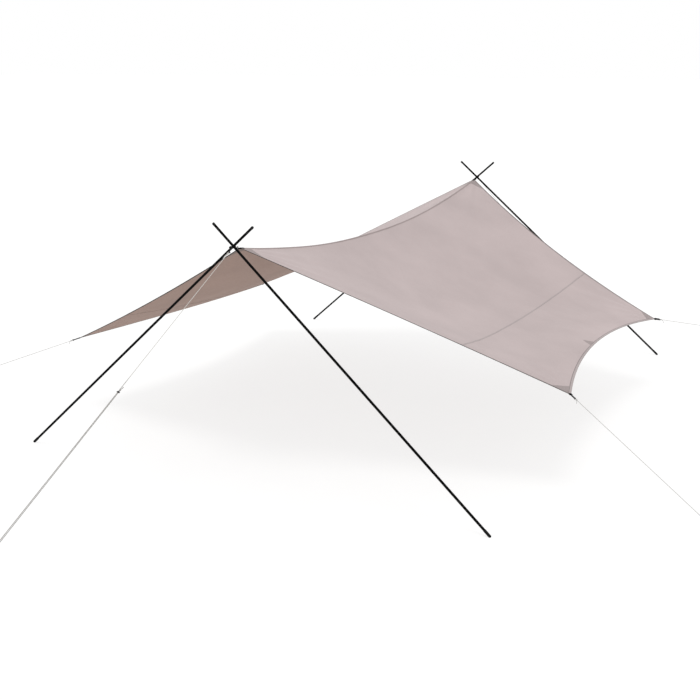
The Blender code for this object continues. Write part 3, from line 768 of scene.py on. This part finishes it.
def stitches(line, normals, pitch, length, width, height):
    """Small pointed stitches set end to end along a line of points."""
    along = lengths_along(line)
    places = np.arange(0.5 * pitch, along[-1] - 0.5 * pitch, pitch)

    def read(values, at):
        return np.stack([np.interp(at, along, values[:, k]) for k in range(3)], -1)

    centre, normal = read(line, places), unit(read(normals, places))
    tangent = unit(read(line, places + 0.2 * pitch) - centre)
    ahead, aside = tangent * (0.5 * length), np.cross(tangent, normal) * (0.5 * width)
    sunk = centre - normal * (0.4 * height)
    top = centre + normal * height
    corners = np.stack([sunk - ahead, centre + aside, top, centre - aside, sunk + ahead], axis=1)
    faces = np.array([(0, 1, 2), (0, 2, 3), (4, 2, 1), (4, 3, 2)])
    offsets = 5 * np.arange(len(places))[:, None, None]
    return corners.reshape(-1, 3), (faces + offsets).reshape(-1, 3)


def add_cloth_stitches(bundle, u, v, inward, distance, lift):
    _, _, normal = surface_steps(u, v)
    for sign in (1.0, -1.0):
        line = offset_line(u, v, inward, distance, sign * lift)
        bundle.add(*stitches(line, normal * sign, *CLOTH_STITCH))


def make_stitching():
    """Rows of stitches along the hems, and along the ridge and the panel seams."""
    hem_rows, seam_rows = Bundle(), Bundle()
    for u, v, inward in edge_lines():
        rows, lift = (ROW_INSET["hem"], HEM_WIDTH - ROW_INSET["hem"]), HEM_HALF
        if inward[0] == 0.0:
            rows, lift = (BINDING_WIDTH - ROW_INSET["binding"],), BINDING_HALF
        for distance in rows:
            add_cloth_stitches(hem_rows, u, v, inward, distance, lift)
    for place, half_band, lift, inset in ((0.0, RIDGE_HALF_BAND, RIDGE_HALF, ROW_INSET["ridge"]),
                                          (PANEL_SEAM, SEAM_HALF_BAND, SEAM_HALF, ROW_INSET["seam"]),
                                          (-PANEL_SEAM, SEAM_HALF_BAND, SEAM_HALF, ROW_INSET["seam"])):
        for distance in (half_band - inset, inset - half_band):
            add_cloth_stitches(seam_rows, place, V_NODES, (1.0, 0.0), distance, lift)
    return [hem_rows.build("hem_stitching", ["sewing thread"], "canopy_cloth", smooth=0.0),
            seam_rows.build("seam_stitching", ["sewing thread"], "canopy_cloth", smooth=0.0)]


# Reinforcement patches: place in (u, v), and by kind the reach along u and along v in metres
PATCHES = {
    "front_right": (1.0, 0.0),
    "rear_right": (1.0, 1.0),
    "front_left": (-1.0, 0.0),
    "rear_left": (-1.0, 1.0),
    "front_ridge": (0.0, 0.0),
    "rear_ridge": (0.0, 1.0),
    "right_edge": (1.0, 0.45),
    "left_edge": (-1.0, 0.45),
}
PATCH_REACH = {"corner": (0.17, 0.17), "ridge": (0.17, 0.13), "edge": (0.117, 0.075)}
PATCH_STEPS = 26
PATCH_LIFT = 0.0013
PATCH_RIM = 0.0002
EDGE_PATCH_SKEW = 0.9
PATCH_STITCH_SHARE = 0.94


def patch_point(tip, a, b, lift):
    """Point at metre distances a and b from the tip, along u and v, towards the cloth's middle."""
    span, length, _ = surface_steps(*tip)
    sign_u = -1.0 if tip[0] > 0.5 else 1.0
    sign_v = -1.0 if tip[1] > 0.75 else 1.0
    return canopy(tip[0] + sign_u * a / span, tip[1] + sign_v * b / length, lift)


def patch_grid(kind):
    """Shares of a patch's reach along u and v, the last row and the rims doubled so that they turn down."""
    first = -1.0 if kind == "ridge" else 0.0
    rows = np.append(np.linspace(0.0, 1.0, PATCH_STEPS), 1.0)
    columns = np.linspace(first, 1.0, 2 * PATCH_STEPS + 1)
    columns = np.concatenate([columns[:1], columns, columns[-1:]])
    share_b, share_a = np.meshgrid(rows, columns, indexing="ij")
    lift = np.full(share_a.shape, PATCH_LIFT)
    lift[-1, :] = lift[:, -1] = PATCH_RIM
    if kind != "corner":
        lift[:, 0] = PATCH_RIM
    if kind == "edge":
        return share_b, (2.0 * share_a - 1.0) * (1.0 - share_b) + EDGE_PATCH_SKEW * share_b, lift
    return share_a * (1.0 - share_b), share_b, lift


def patch_kind(name):
    last = name.split("_")[1]
    return last if last in PATCH_REACH else "corner"


def make_patches():
    """Darker triangles doubled onto both faces at the tips and at the middle of the side edges."""
    bundle, threads = Bundle(), Bundle()
    t = np.linspace(0.02, 0.98, 60)
    for name, tip in PATCHES.items():
        kind = patch_kind(name)
        reach_a, reach_b = PATCH_REACH[kind]
        share_a, share_b, lift = patch_grid(kind)
        a, b = share_a * reach_a, share_b * reach_b
        _, _, normal = surface_steps(tip[0] * 0.98, np.full(t.shape, min(max(tip[1], 0.02), 0.98)))
        runs = [(t, 1.0 - t)]
        if kind == "edge":
            runs = [(t, 1.0 - t + EDGE_PATCH_SKEW * t), (t, t - 1.0 + EDGE_PATCH_SKEW * t)]
        if kind == "ridge":
            runs.append((-t, 1.0 - t))
        runs = np.array(runs) * PATCH_STITCH_SHARE
        faces, _ = grid_faces(a[0], b[:, 0])
        uvs = np.stack([a.ravel()[faces], b.ravel()[faces]], -1)
        for slot, sign in enumerate((1.0, -1.0)):
            bundle.add(patch_point(tip, a, b, sign * lift), faces, uvs, slot)
            for run_a, run_b in runs:
                line = patch_point(tip, run_a * reach_a, run_b * reach_b, sign * PATCH_LIFT)
                threads.add(*stitches(line, normal * sign, *PATCH_STITCH))
    # The patches' underside colour is painted shade, darker and warmer like the sheet's underside
    looks = ["patch cloth outer", "patch cloth underside painted shade"]
    return [bundle.build("canopy_patches", looks, "canopy_cloth", smooth=50.0),
            threads.build("patch_stitching", ["sewing thread"], "canopy_cloth", smooth=0.0)]


# Bipods, bolts, rings and feet

def bipod(end_name):
    """Crossing point, feet's middle, and the across, pivot and outward axes of one bipod."""
    end = ENDS[end_name]
    turn = Matrix.Rotation(REAR_TURN if end > 0 else 0.0, 3, "Z")
    across = turn @ Vector((1.0, 0.0, 0.0))
    crossing = Vector((0.0, end * CROSSING_Y, CROSSING_HEIGHT))
    feet_middle = Vector((0.0, end * CROSSING_Y, 0.0)) + turn @ Vector((0.0, end, 0.0)) * BIPOD_LEAN
    rise = (crossing - feet_middle).normalized()
    pivot_axis = rise.cross(across).normalized()
    return {"crossing": crossing, "feet_middle": feet_middle, "across": across, "rise": rise,
            "pivot_axis": pivot_axis, "outward": pivot_axis * end}


def pole_frame(bip, side):
    """Matrix on the pivot with Z up the pole and Y on the pivot axis, and the pole's length below it."""
    foot = bip["feet_middle"] + bip["across"] * (side * FOOT_SPREAD)
    reach = bip["crossing"] - foot
    up_pole = reach.normalized()
    offset = bip["outward"] * (-POLE_OFFSET if side > 0 else POLE_OFFSET)
    x_axis = bip["pivot_axis"].cross(up_pole)
    return frame_matrix(bip["crossing"] + offset, x_axis, bip["pivot_axis"], up_pole), reach.length


def foot_outline(length):
    """Ribbed rubber foot with a shoulder round the tube and a domed end."""
    top, dome = FOOT_LENGTH + FOOT_COLLAR - length, FOOT_RADIUS * 0.93 - length
    outline = [(POLE_RADIUS + 0.0001, top - FOOT_LIP), (POLE_RADIUS + 0.0002, top)]
    outline += [(FOOT_RADIUS + out, top - down) for out, down in FOOT_SHOULDER]
    start = top - FOOT_PLAIN
    pitch = (start - dome - 0.006) / FOOT_RIBS
    for k in range(FOOT_RIBS):
        outline += [(FOOT_RADIUS + out, start - (k + share) * pitch) for out, share in FOOT_RIB]
    radius = FOOT_RADIUS + 0.0002
    outline.append((radius, dome + 0.004))
    for a in range(0, 91, 15):
        outline.append((radius * math.cos(math.radians(a)), dome - FOOT_RADIUS * math.sin(math.radians(a))))
    return outline


def cut_at_ground(obj):
    """Trim a mesh flat where it meets the ground."""
    bm = bmesh.new()
    bm.from_mesh(obj.data)
    geometry = bm.verts[:] + bm.edges[:] + bm.faces[:]
    bmesh.ops.bisect_plane(bm, geom=geometry, plane_co=(0.0, 0.0, 0.0), plane_no=-UP, clear_outer=True)
    rim = [edge for edge in bm.edges
           if edge.is_boundary and all(abs(vert.co.z) < 1e-5 for vert in edge.verts)]
    bmesh.ops.holes_fill(bm, edges=rim, sides=0)
    bm.to_mesh(obj.data)
    bm.free()


def make_pole_dress(body, side, bip):
    """Foot and end cap of one pole."""
    matrix, length = pole_frame(bip, side)
    foot = Bundle().add(*lathe(foot_outline(length), 40, matrix))
    cut_at_ground(foot.build(f"{body}_shoe", ["foot rubber"], "rubber", body, replaces=[f"{body}_foot"]))
    cap = Bundle().add(*lathe(moved(END_CAP, POLE_BEYOND_CROSSING, outward=POLE_RADIUS), 40, matrix))
    cap.build(f"{body}_end_cap", ["end cap plastic"], "plastic", body)


def eye_bar(bip, direction):
    """Middle of the eye's far bar, on the outward side (1) or the canopy's side (-1)."""
    reach = NUT_START + NUT_LENGTH[direction] + NECK_REACH + 2.0 * EYE_RADIUS
    return bip["crossing"] + bip["outward"] * (direction * reach) - bip["rise"] * EYE_DROP[direction]


def make_knob(matrix):
    """Moulded hand knob: a dished round head with eight finger lobes, as vertices, faces and UVs."""
    sides, vertices = 64, []
    for share, height in KNOB:
        for k, (x, y) in enumerate(circle(KNOB_RADIUS * share, sides)):
            dent = 0.5 - 0.5 * math.cos(16.0 * math.pi * k / sides)
            lobe = 1.0 - KNOB_LOBE * dent * max(0.0, share - 0.74) / 0.26
            vertices.append(matrix @ Vector((x * lobe, y * lobe, NUT_START + height)))
    return vertices, *grid_faces(turn_shares(sides), np.arange(len(KNOB)) / sides, closed=True)


def make_bolt(end_name, bip):
    """Shaft, nylon spacer, washer, inner nut, outer hand knob, and an eye on a bent neck at each end."""
    matrix = frame_matrix(bip["crossing"], bip["rise"].cross(bip["outward"]), bip["rise"], bip["outward"])
    spacer = POLE_OFFSET - POLE_RADIUS - GAP
    inner_end, outer_end = NUT_START + NUT_LENGTH[-1], NUT_START + NUT_LENGTH[1]
    bundle = Bundle()
    shaft = [(0.0, -inner_end), (SHAFT_RADIUS, 0.0004 - inner_end), (SHAFT_RADIUS, outer_end - 0.0004),
             (0.0, outer_end)]
    bundle.add(*lathe(shaft, 24, matrix))
    bundle.add(*lathe(moved(COLLAR, -spacer) + moved(COLLAR, -spacer, -1)[::-1], 36, matrix), slot=1)
    bundle.add(*lathe(moved(WASHER, NUT_START, -1), 36, matrix))
    bundle.add(*lathe(moved(NUT_FOOT, NUT_START, -1) + moved(NUT_HEAD, inner_end, -1), 6, matrix))
    bundle.add(*make_knob(matrix), slot=1)
    for direction, nut_end in ((1, outer_end), (-1, inner_end)):
        bend = arc(nut_end + NECK_REACH - NECK_BEND, -NECK_BEND, NECK_BEND, 90.0, -7.5, 13)
        path = [(0.0, nut_end - 0.002)] + [(y, x) for x, y in bend]
        path.append((-EYE_DROP[direction] - 0.2 * EYE_BAR_RADIUS, nut_end + NECK_REACH))
        bundle.add(*tube([matrix @ Vector((0.0, y, direction * z)) for y, z in path], NECK_RADIUS, 16))
        centre = Vector((0.0, -EYE_DROP[direction], direction * (nut_end + NECK_REACH + EYE_RADIUS)))
        turned = matrix @ Matrix.Translation(centre) @ Matrix.Rotation(math.radians(90.0), 4, "X")
        bundle.add(*torus(EYE_RADIUS, EYE_BAR_RADIUS, 40, 16, turned))
    looks = ["black coated steel", "black moulded plastic"]
    bundle.build(f"{end_name}_bolt", looks, "black_steel", smooth=30.0, replaces=[f"{end_name}_pivot_bolt"])


def make_ring(tip, eye, tab_bar):
    """Link ring that holds the bolt's eye and the tab's bar just inside it."""
    toward_tab = tab_bar - eye
    along = toward_tab.normalized()
    from_eye = EYE_BAR_RADIUS + GAP + RING_BAR_RADIUS
    from_tab = 0.5 * TAB_BAR + 2.0 * GAP + RING_BAR_RADIUS
    radius = 0.5 * (toward_tab.length + from_eye + from_tab)
    centre = eye + along * (radius - from_eye)
    lateral = along.cross(UP).normalized()
    matrix = frame_matrix(centre, along, lateral.cross(along), lateral)
    ring = Bundle().add(*torus(radius, RING_BAR_RADIUS, 56, 16, matrix))
    ring.build(f"{tip}_link", ["black coated steel"], "black_steel", replaces=[f"{tip}_ring"])


# Tabs

def tab_frame(tip, pull):
    """Matrix of a tab: at its inner end, X along the pull, Y across the webbing, Z off it."""
    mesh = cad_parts[f"{tip}_tab"].data
    points = [Vector(p) for p in dict.fromkeys(tuple(round(c, 6) for c in v.co) for v in mesh.vertices)]
    points.sort(key=lambda p: p.dot(pull))
    inner = points[:4]
    middle = sum(inner, Vector()) / 4.0
    others = sorted(inner[1:], key=lambda p: (p - inner[0]).length)
    lateral = (others[1] - inner[0]).normalized()
    lateral = (lateral - pull * lateral.dot(pull)).normalized()
    normal = lateral.cross(pull)
    if normal.z < 0.0:
        lateral, normal = -lateral, -normal
    return frame_matrix(middle, pull, lateral, normal)


def plate(rim, holes, half_thickness, bevel):
    """Flat plate with a rounded rim and round holes, as vertices and faces, from a filled curve."""
    curve = bpy.data.curves.new("outline", "CURVE")
    curve.dimensions = "2D"
    curve.fill_mode = "BOTH"
    curve.extrude = half_thickness - bevel
    curve.bevel_depth = bevel
    curve.bevel_resolution = 2
    for outline in [rim] + holes:
        spline = curve.splines.new("POLY")
        spline.points.add(len(outline) - 1)
        for point, (x, y) in zip(spline.points, outline):
            point.co = (x, y, 0.0, 1.0)
        spline.use_cyclic_u = True
    obj = add_object("outline", curve)
    mesh = bpy.data.meshes.new_from_object(obj.evaluated_get(bpy.context.evaluated_depsgraph_get()))
    vertices = [v.co.copy() for v in mesh.vertices]
    faces = [tuple(p.vertices) for p in mesh.polygons]
    bpy.data.objects.remove(obj)
    bpy.data.curves.remove(curve)
    bpy.data.meshes.remove(mesh)
    return vertices, faces


def strap_points(tip, matrix, tip_reach, x, y, level, height):
    """Points of a strap at x along its pull and y across it: on the cloth up to the tip, then flat."""
    x, y, height = np.broadcast_arrays(x, y, height)
    turn, origin = np.array(matrix.to_3x3()), np.array(matrix.translation)
    away = np.stack([x - tip_reach, y, np.zeros_like(x)], -1) @ turn.T
    sides = (1.0, -1.0) if tip[0] == 0.0 else (-tip[0],)
    lift = height + np.sign(level) * STRAP_LIFT
    choices = []
    for side in sides:
        du, dv = slopes(tip[0] + 0.01 * side, min(max(tip[1], 0.01), 0.99))
        shift = away @ np.linalg.pinv(np.stack([du, dv], -1)).T
        choices.append(canopy(tip[0] + shift[..., 0], tip[1] + shift[..., 1], lift))
    on_cloth = np.where(away[..., :1] * sides[0] >= 0.0, choices[0], choices[-1])
    flat = np.stack([x, y, height + level], -1) @ turn.T + origin
    share = smooth_step((x - tip_reach) / STRAP_CLOSING)[..., None]
    return on_cloth * (1.0 - share) + flat * share


def make_tab(tip_name, pull):
    """Webbing folded round the cloth's tip, sewn down with a crossed box, with an eyelet for the cord."""
    matrix = tab_frame(tip_name, pull)
    tip, kind = PATCHES[tip_name], patch_kind(tip_name)
    length, tip_reach = TAB_LENGTH[kind], TIP_CUT[kind]
    hole_x = length - TAB_BAR - EYELET_FROM_BAR
    half = 0.5 * TAB_WIDTH
    webbing, threads, eyelet = Bundle(), Bundle(), Bundle()
    across = np.array([1.0, 0.98, 0.5, 0.0, -0.5, -0.98, -1.0, -0.98, -0.5, 0.0, 0.5, 0.98]) * half
    section = np.array([0.0] + [1.0] * 5 + [0.0] + [-1.0] * 5) * STRAP_HALF
    x = np.linspace(-STRAP_OVERLAP[kind], tip_reach + STRAP_CLOSING, 26)
    faces, uvs = grid_faces([*across, across[0]], x, closed=True)
    rings = end_rings(len(x), len(across))
    for level in (STRAP_LEVEL, -STRAP_LEVEL):
        grid = strap_points(tip, matrix, tip_reach, x[:, None], across[None, :], level, section[None, :])
        webbing.add(grid, faces.tolist() + [*rings], uvs)
    outline = rounded_box(tip_reach + 0.6 * STRAP_CLOSING, length, half, 0.001, 0.0045, 6)
    vertices, faces = plate(outline, [circle(EYELET_HOLE, 20, hole_x)], TAB_HALF_PLATE, 0.0006)
    uvs = [(vertices[i][1], vertices[i][0]) for face in faces for i in face]
    webbing.add([matrix @ v for v in vertices], faces, uvs)
    (near, far), w = STRAP_BOX, half - STRAP_BOX_INSET
    runs = [((near, -w), (far, -w)), ((far, -w), (far, w)), ((far, w), (near, w)), ((near, w), (near, -w)),
            ((near, -w), (far, w)), ((far, -w), (near, w))]
    t = np.linspace(0.0, 1.0, 14)
    top = (STRAP_HALF if kind == "ridge" else PATCH_LIFT - STRAP_LIFT) + 0.0001
    off_webbing = matrix.to_3x3() @ UP
    add_rims(eyelet, EYELET, hole_x, 36, matrix)
    for direction in (1.0, -1.0):
        normal = np.tile(np.array(off_webbing * direction), (len(t), 1))
        for (x0, y0), (x1, y1) in runs:
            line = strap_points(tip, matrix, tip_reach, x0 + (x1 - x0) * t, y0 + (y1 - y0) * t,
                                direction * STRAP_LEVEL, direction * top)
            threads.add(*stitches(line, normal, *STRAP_STITCH))
    webbing.build(f"{tip_name}_strap", ["black webbing weave"], "webbing", smooth=35.0,
                  replaces=[f"{tip_name}_tab"])
    threads.build(f"{tip_name}_strap_stitching", ["strap thread"], "webbing", smooth=0.0)
    eyelet.build(f"{tip_name}_eyelet", ["black coated steel"], "black_steel")
    return matrix @ Vector((length - 0.5 * TAB_BAR, 0.0, 0.0)), off_webbing


# Guy lines, adjusters and pegs

def peg_frame(start, tip):
    """Loop centre on a peg, with the guy line's direction and the peg's lateral and shaft axes."""
    centre = Vector((*PEGS[tip], PEG_LOOP_HEIGHT))
    along = (centre - start).normalized()
    lateral = along.cross(UP).normalized()
    return centre, along, lateral, lateral.cross(along)


def coil(centre, axis, side, radius, pitch, turns, per_turn=14):
    other = axis.cross(side)
    return [centre + axis * (pitch * k / per_turn) + side * x + other * y
            for k, (x, y) in enumerate(arc(0.0, 0.0, radius, 0.0, 360.0 / per_turn, turns * per_turn + 1))]


def overhand(centre, axis, side, size):
    """Small trefoil knot round an axis."""
    other, points, reach = axis.cross(side), [], size * 0.42
    for k in range(61):
        a = 2.0 * math.pi * k / 60.0
        points.append(centre + side * (reach * (math.sin(a) + 2.0 * math.sin(2.0 * a)))
                      + other * (reach * (math.cos(a) - 2.0 * math.cos(2.0 * a)))
                      - axis * (size * 0.45 * math.sin(3.0 * a)))
    return points


def add_cord(bundle, points, radius, sides, start):
    """Adds a round cord; its UV is (turn, metres past the adjuster)."""
    vertices, faces, uvs = tube(points, radius, sides)
    bundle.add(vertices, faces, uvs + np.array((0.0, start)))


def make_guy(tip, start, normal, bar_reach, adjuster_at):
    """Cord tied to its bar, run round the peg and back to a stopper knot at the adjuster."""
    centre, along, lateral, _ = peg_frame(start, tip)
    normal = (normal - along * normal.dot(along)).normalized()
    side = along.cross(normal)

    cord = Bundle()
    loop = arc(0.0, 0.0, bar_reach + CORD_RADIUS + GAP, 90.0, 22.5, 9)
    tie = (*TIE_BEFORE, *loop, *TIE_AFTER)
    path = smooth_path([start + along * ahead + normal * off for ahead, off in tie], 3)
    leave = start + along * TIE_END
    turn = PEG_RADIUS + CORD_RADIUS + GAP
    arrive = centre + lateral * turn
    path += [leave.lerp(arrive, step / 12.0) for step in range(12)]
    path += [centre + lateral * x + along * y for x, y in arc(0.0, 0.0, turn, 0.0, 11.25, 17)]
    at_adjuster = leave.lerp(arrive, adjuster_at)
    back = at_adjuster - lateral * ADJUSTER_HOLE_PITCH
    far = path[-1]
    home = (back - far).normalized()
    path += [far.lerp(back + home * 0.013, step / 8.0) for step in range(1, 9)]
    path += [back + home * ahead + lateral * off for ahead, off in FREE_END]
    add_cord(cord, path, CORD_RADIUS, 14, -(at_adjuster - start).length)
    knot = coil(start + along * 0.0125, along, normal, 1.75 * CORD_RADIUS, 1.65 * CORD_RADIUS, 3)
    tail = [knot[-1], knot[-1] + (knot[-1] - knot[-2]) * 1.2]
    for step in (side * 0.005 - normal * 0.004 + along * 0.004, side * 0.008 - UP * 0.006 + along * 0.008,
                 side * 0.004 - UP * 0.012 + along * 0.006):
        tail.append(tail[-1] + step)
    add_cord(cord, knot + smooth_path(tail, 4)[1:], 0.95 * CORD_RADIUS, 12, -1.0)
    stopper = overhand(back + home * STOPPER_AT, home, lateral, STOPPER_SIZE)
    add_cord(cord, stopper, 0.85 * CORD_RADIUS, 10, 0.0)
    braid = "pale braided cord" if tip in CORNERS else "braided cord"
    cord.build(f"{tip}_cord", [braid], "cord", smooth=60.0, replaces=[f"{tip}_guy_line"])
    make_adjuster(tip, at_adjuster, (arrive - leave).normalized(), lateral)
    make_peg(tip, start)


def make_adjuster(tip, place, along, lateral):
    """Rounded plastic bar with two holes and raised rims."""
    half_pitch, half = 0.5 * ADJUSTER_HOLE_PITCH, ADJUSTER_HALF_LENGTH
    matrix = frame_matrix(place - lateral * half_pitch, lateral, lateral.cross(along), along)
    places = (-half_pitch, half_pitch)
    outline = rounded_box(-half, half, ADJUSTER_HALF_WIDTH, 0.0060, 0.0060, 6)
    holes = [circle(ADJUSTER_HOLE, 16, x) for x in places]
    vertices, faces = plate(outline, holes, ADJUSTER_HALF_PLATE, 0.0009)
    bundle = Bundle().add([matrix @ v for v in vertices], faces)
    for x in places:
        add_rims(bundle, SLIDER_RIM, x, 24, matrix)
    bundle.build(f"{tip}_slider", ["black moulded plastic"], "plastic", smooth=35.0,
                 replaces=[f"{tip}_adjuster"])


def make_peg(tip, start):
    """Round-headed steel peg with a grooved neck; the ground cuts it off."""
    centre, along, lateral, shaft = peg_frame(start, tip)
    seat, neck = CORD_RADIUS + 0.002, PEG_RADIUS - 0.0006
    outline = [(0.0, -0.060), (PEG_RADIUS, -0.060), (PEG_RADIUS, -0.004), (neck, -0.003), (neck, 0.003),
               (PEG_RADIUS, 0.004), (PEG_RADIUS, seat)] + moved(PEG_HEAD, seat)
    peg = Bundle().add(*lathe(outline, 36, frame_matrix(centre, along, lateral, shaft)))
    cut_at_ground(peg.build(f"{tip}_stake", ["black coated steel"], "black_steel", smooth=35.0,
                            replaces=[f"{tip}_peg"]))


def canopy_tips(bipods):
    """Each tip's unit pull direction."""
    pulls = {}
    for end_name, bip in bipods.items():
        point = Vector((0.0, ENDS[end_name] * RIDGE_HALF_LENGTH, RIDGE_HEIGHT))
        pulls[f"{end_name}_ridge"] = (eye_bar(bip, -1) - point).normalized()
    for name, point in CORNERS.items():
        pulls[name] = (Vector((*PEGS[name], PEG_LOOP_HEIGHT)) - Vector(point)).normalized()
    return pulls


# Cloths: colour and sheen. Each underside colour is painted shade: darker than the outer face, for how the
# cloth looks from below in shade
CLOTHS = {
    "tarp cloth outer": ((0.400, 0.336, 0.334), 0.08),
    "tarp cloth underside painted shade": ((0.305, 0.210, 0.174), 0.03),
    "hem cloth outer": ((0.335, 0.290, 0.288), 0.06),
    "hem cloth underside painted shade": ((0.110, 0.098, 0.092), 0.03),
    "edge binding": ((0.165, 0.140, 0.138), 0.04),
    "edge binding underside painted shade": ((0.030, 0.026, 0.025), 0.02),
    "seam cloth underside painted shade": ((0.225, 0.162, 0.138), 0.03),
    "ridge tape": ((0.285, 0.238, 0.234), 0.05),
    "patch cloth outer": ((0.270, 0.228, 0.226), 0.05),
    "patch cloth underside painted shade": ((0.200, 0.150, 0.130), 0.03),
}


def make_materials():
    for name, (color, sheen) in CLOTHS.items():
        make_cloth(name, color, sheen)
    make_webbing("black webbing weave", (0.0035, 0.0035, 0.0037))
    make_coated("black coated steel", (0.004, 0.004, 0.0042), 0.36, 700.0, 0.15)
    make_coated("pole powder coat", (0.0012, 0.0012, 0.0013), 0.48, 520.0, 0.04)
    make_moulded("foot rubber", (0.004, 0.004, 0.004), 0.74)
    make_moulded("black moulded plastic", (0.008, 0.008, 0.0083), 0.46)
    make_moulded("end cap plastic", (0.006, 0.006, 0.0062), 0.50)
    make_braid("braided cord", (0.56, 0.54, 0.51), (0.12, 0.12, 0.125))
    make_braid("pale braided cord", (0.48, 0.47, 0.455), (0.14, 0.14, 0.145))
    make_thread("sewing thread", (0.20, 0.165, 0.155))
    make_thread("strap thread", (0.05, 0.05, 0.052))


def main():
    set_camera()
    set_light()
    make_floor()
    make_materials()
    for name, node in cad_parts.items():
        if name.endswith("_tube"):
            for slot in node.material_slots:
                slot.material = bpy.data.materials["pole powder coat"]

    sheet = make_canopy_sheet()
    trims = [make_hems(), make_seams(), *make_stitching(), *make_patches()]
    bipods = {end_name: bipod(end_name) for end_name in ENDS}
    for end_name, bip in bipods.items():
        for side_name, side in SIDES.items():
            make_pole_dress(f"{end_name}_{side_name}_pole", side, bip)
        make_bolt(end_name, bip)
    for tip, pull in canopy_tips(bipods).items():
        bar, normal = make_tab(tip, pull)
        if tip in CORNERS:
            make_guy(tip, bar, normal, math.hypot(0.5 * TAB_BAR, 0.5 * TAB_THICKNESS), CORNER_ADJUSTER_AT)
            continue
        bip = bipods[tip.split("_")[0]]
        make_ring(tip, eye_bar(bip, -1), bar)
        make_guy(tip, eye_bar(bip, 1), UP, EYE_BAR_RADIUS, RIDGE_ADJUSTER_AT)


main()
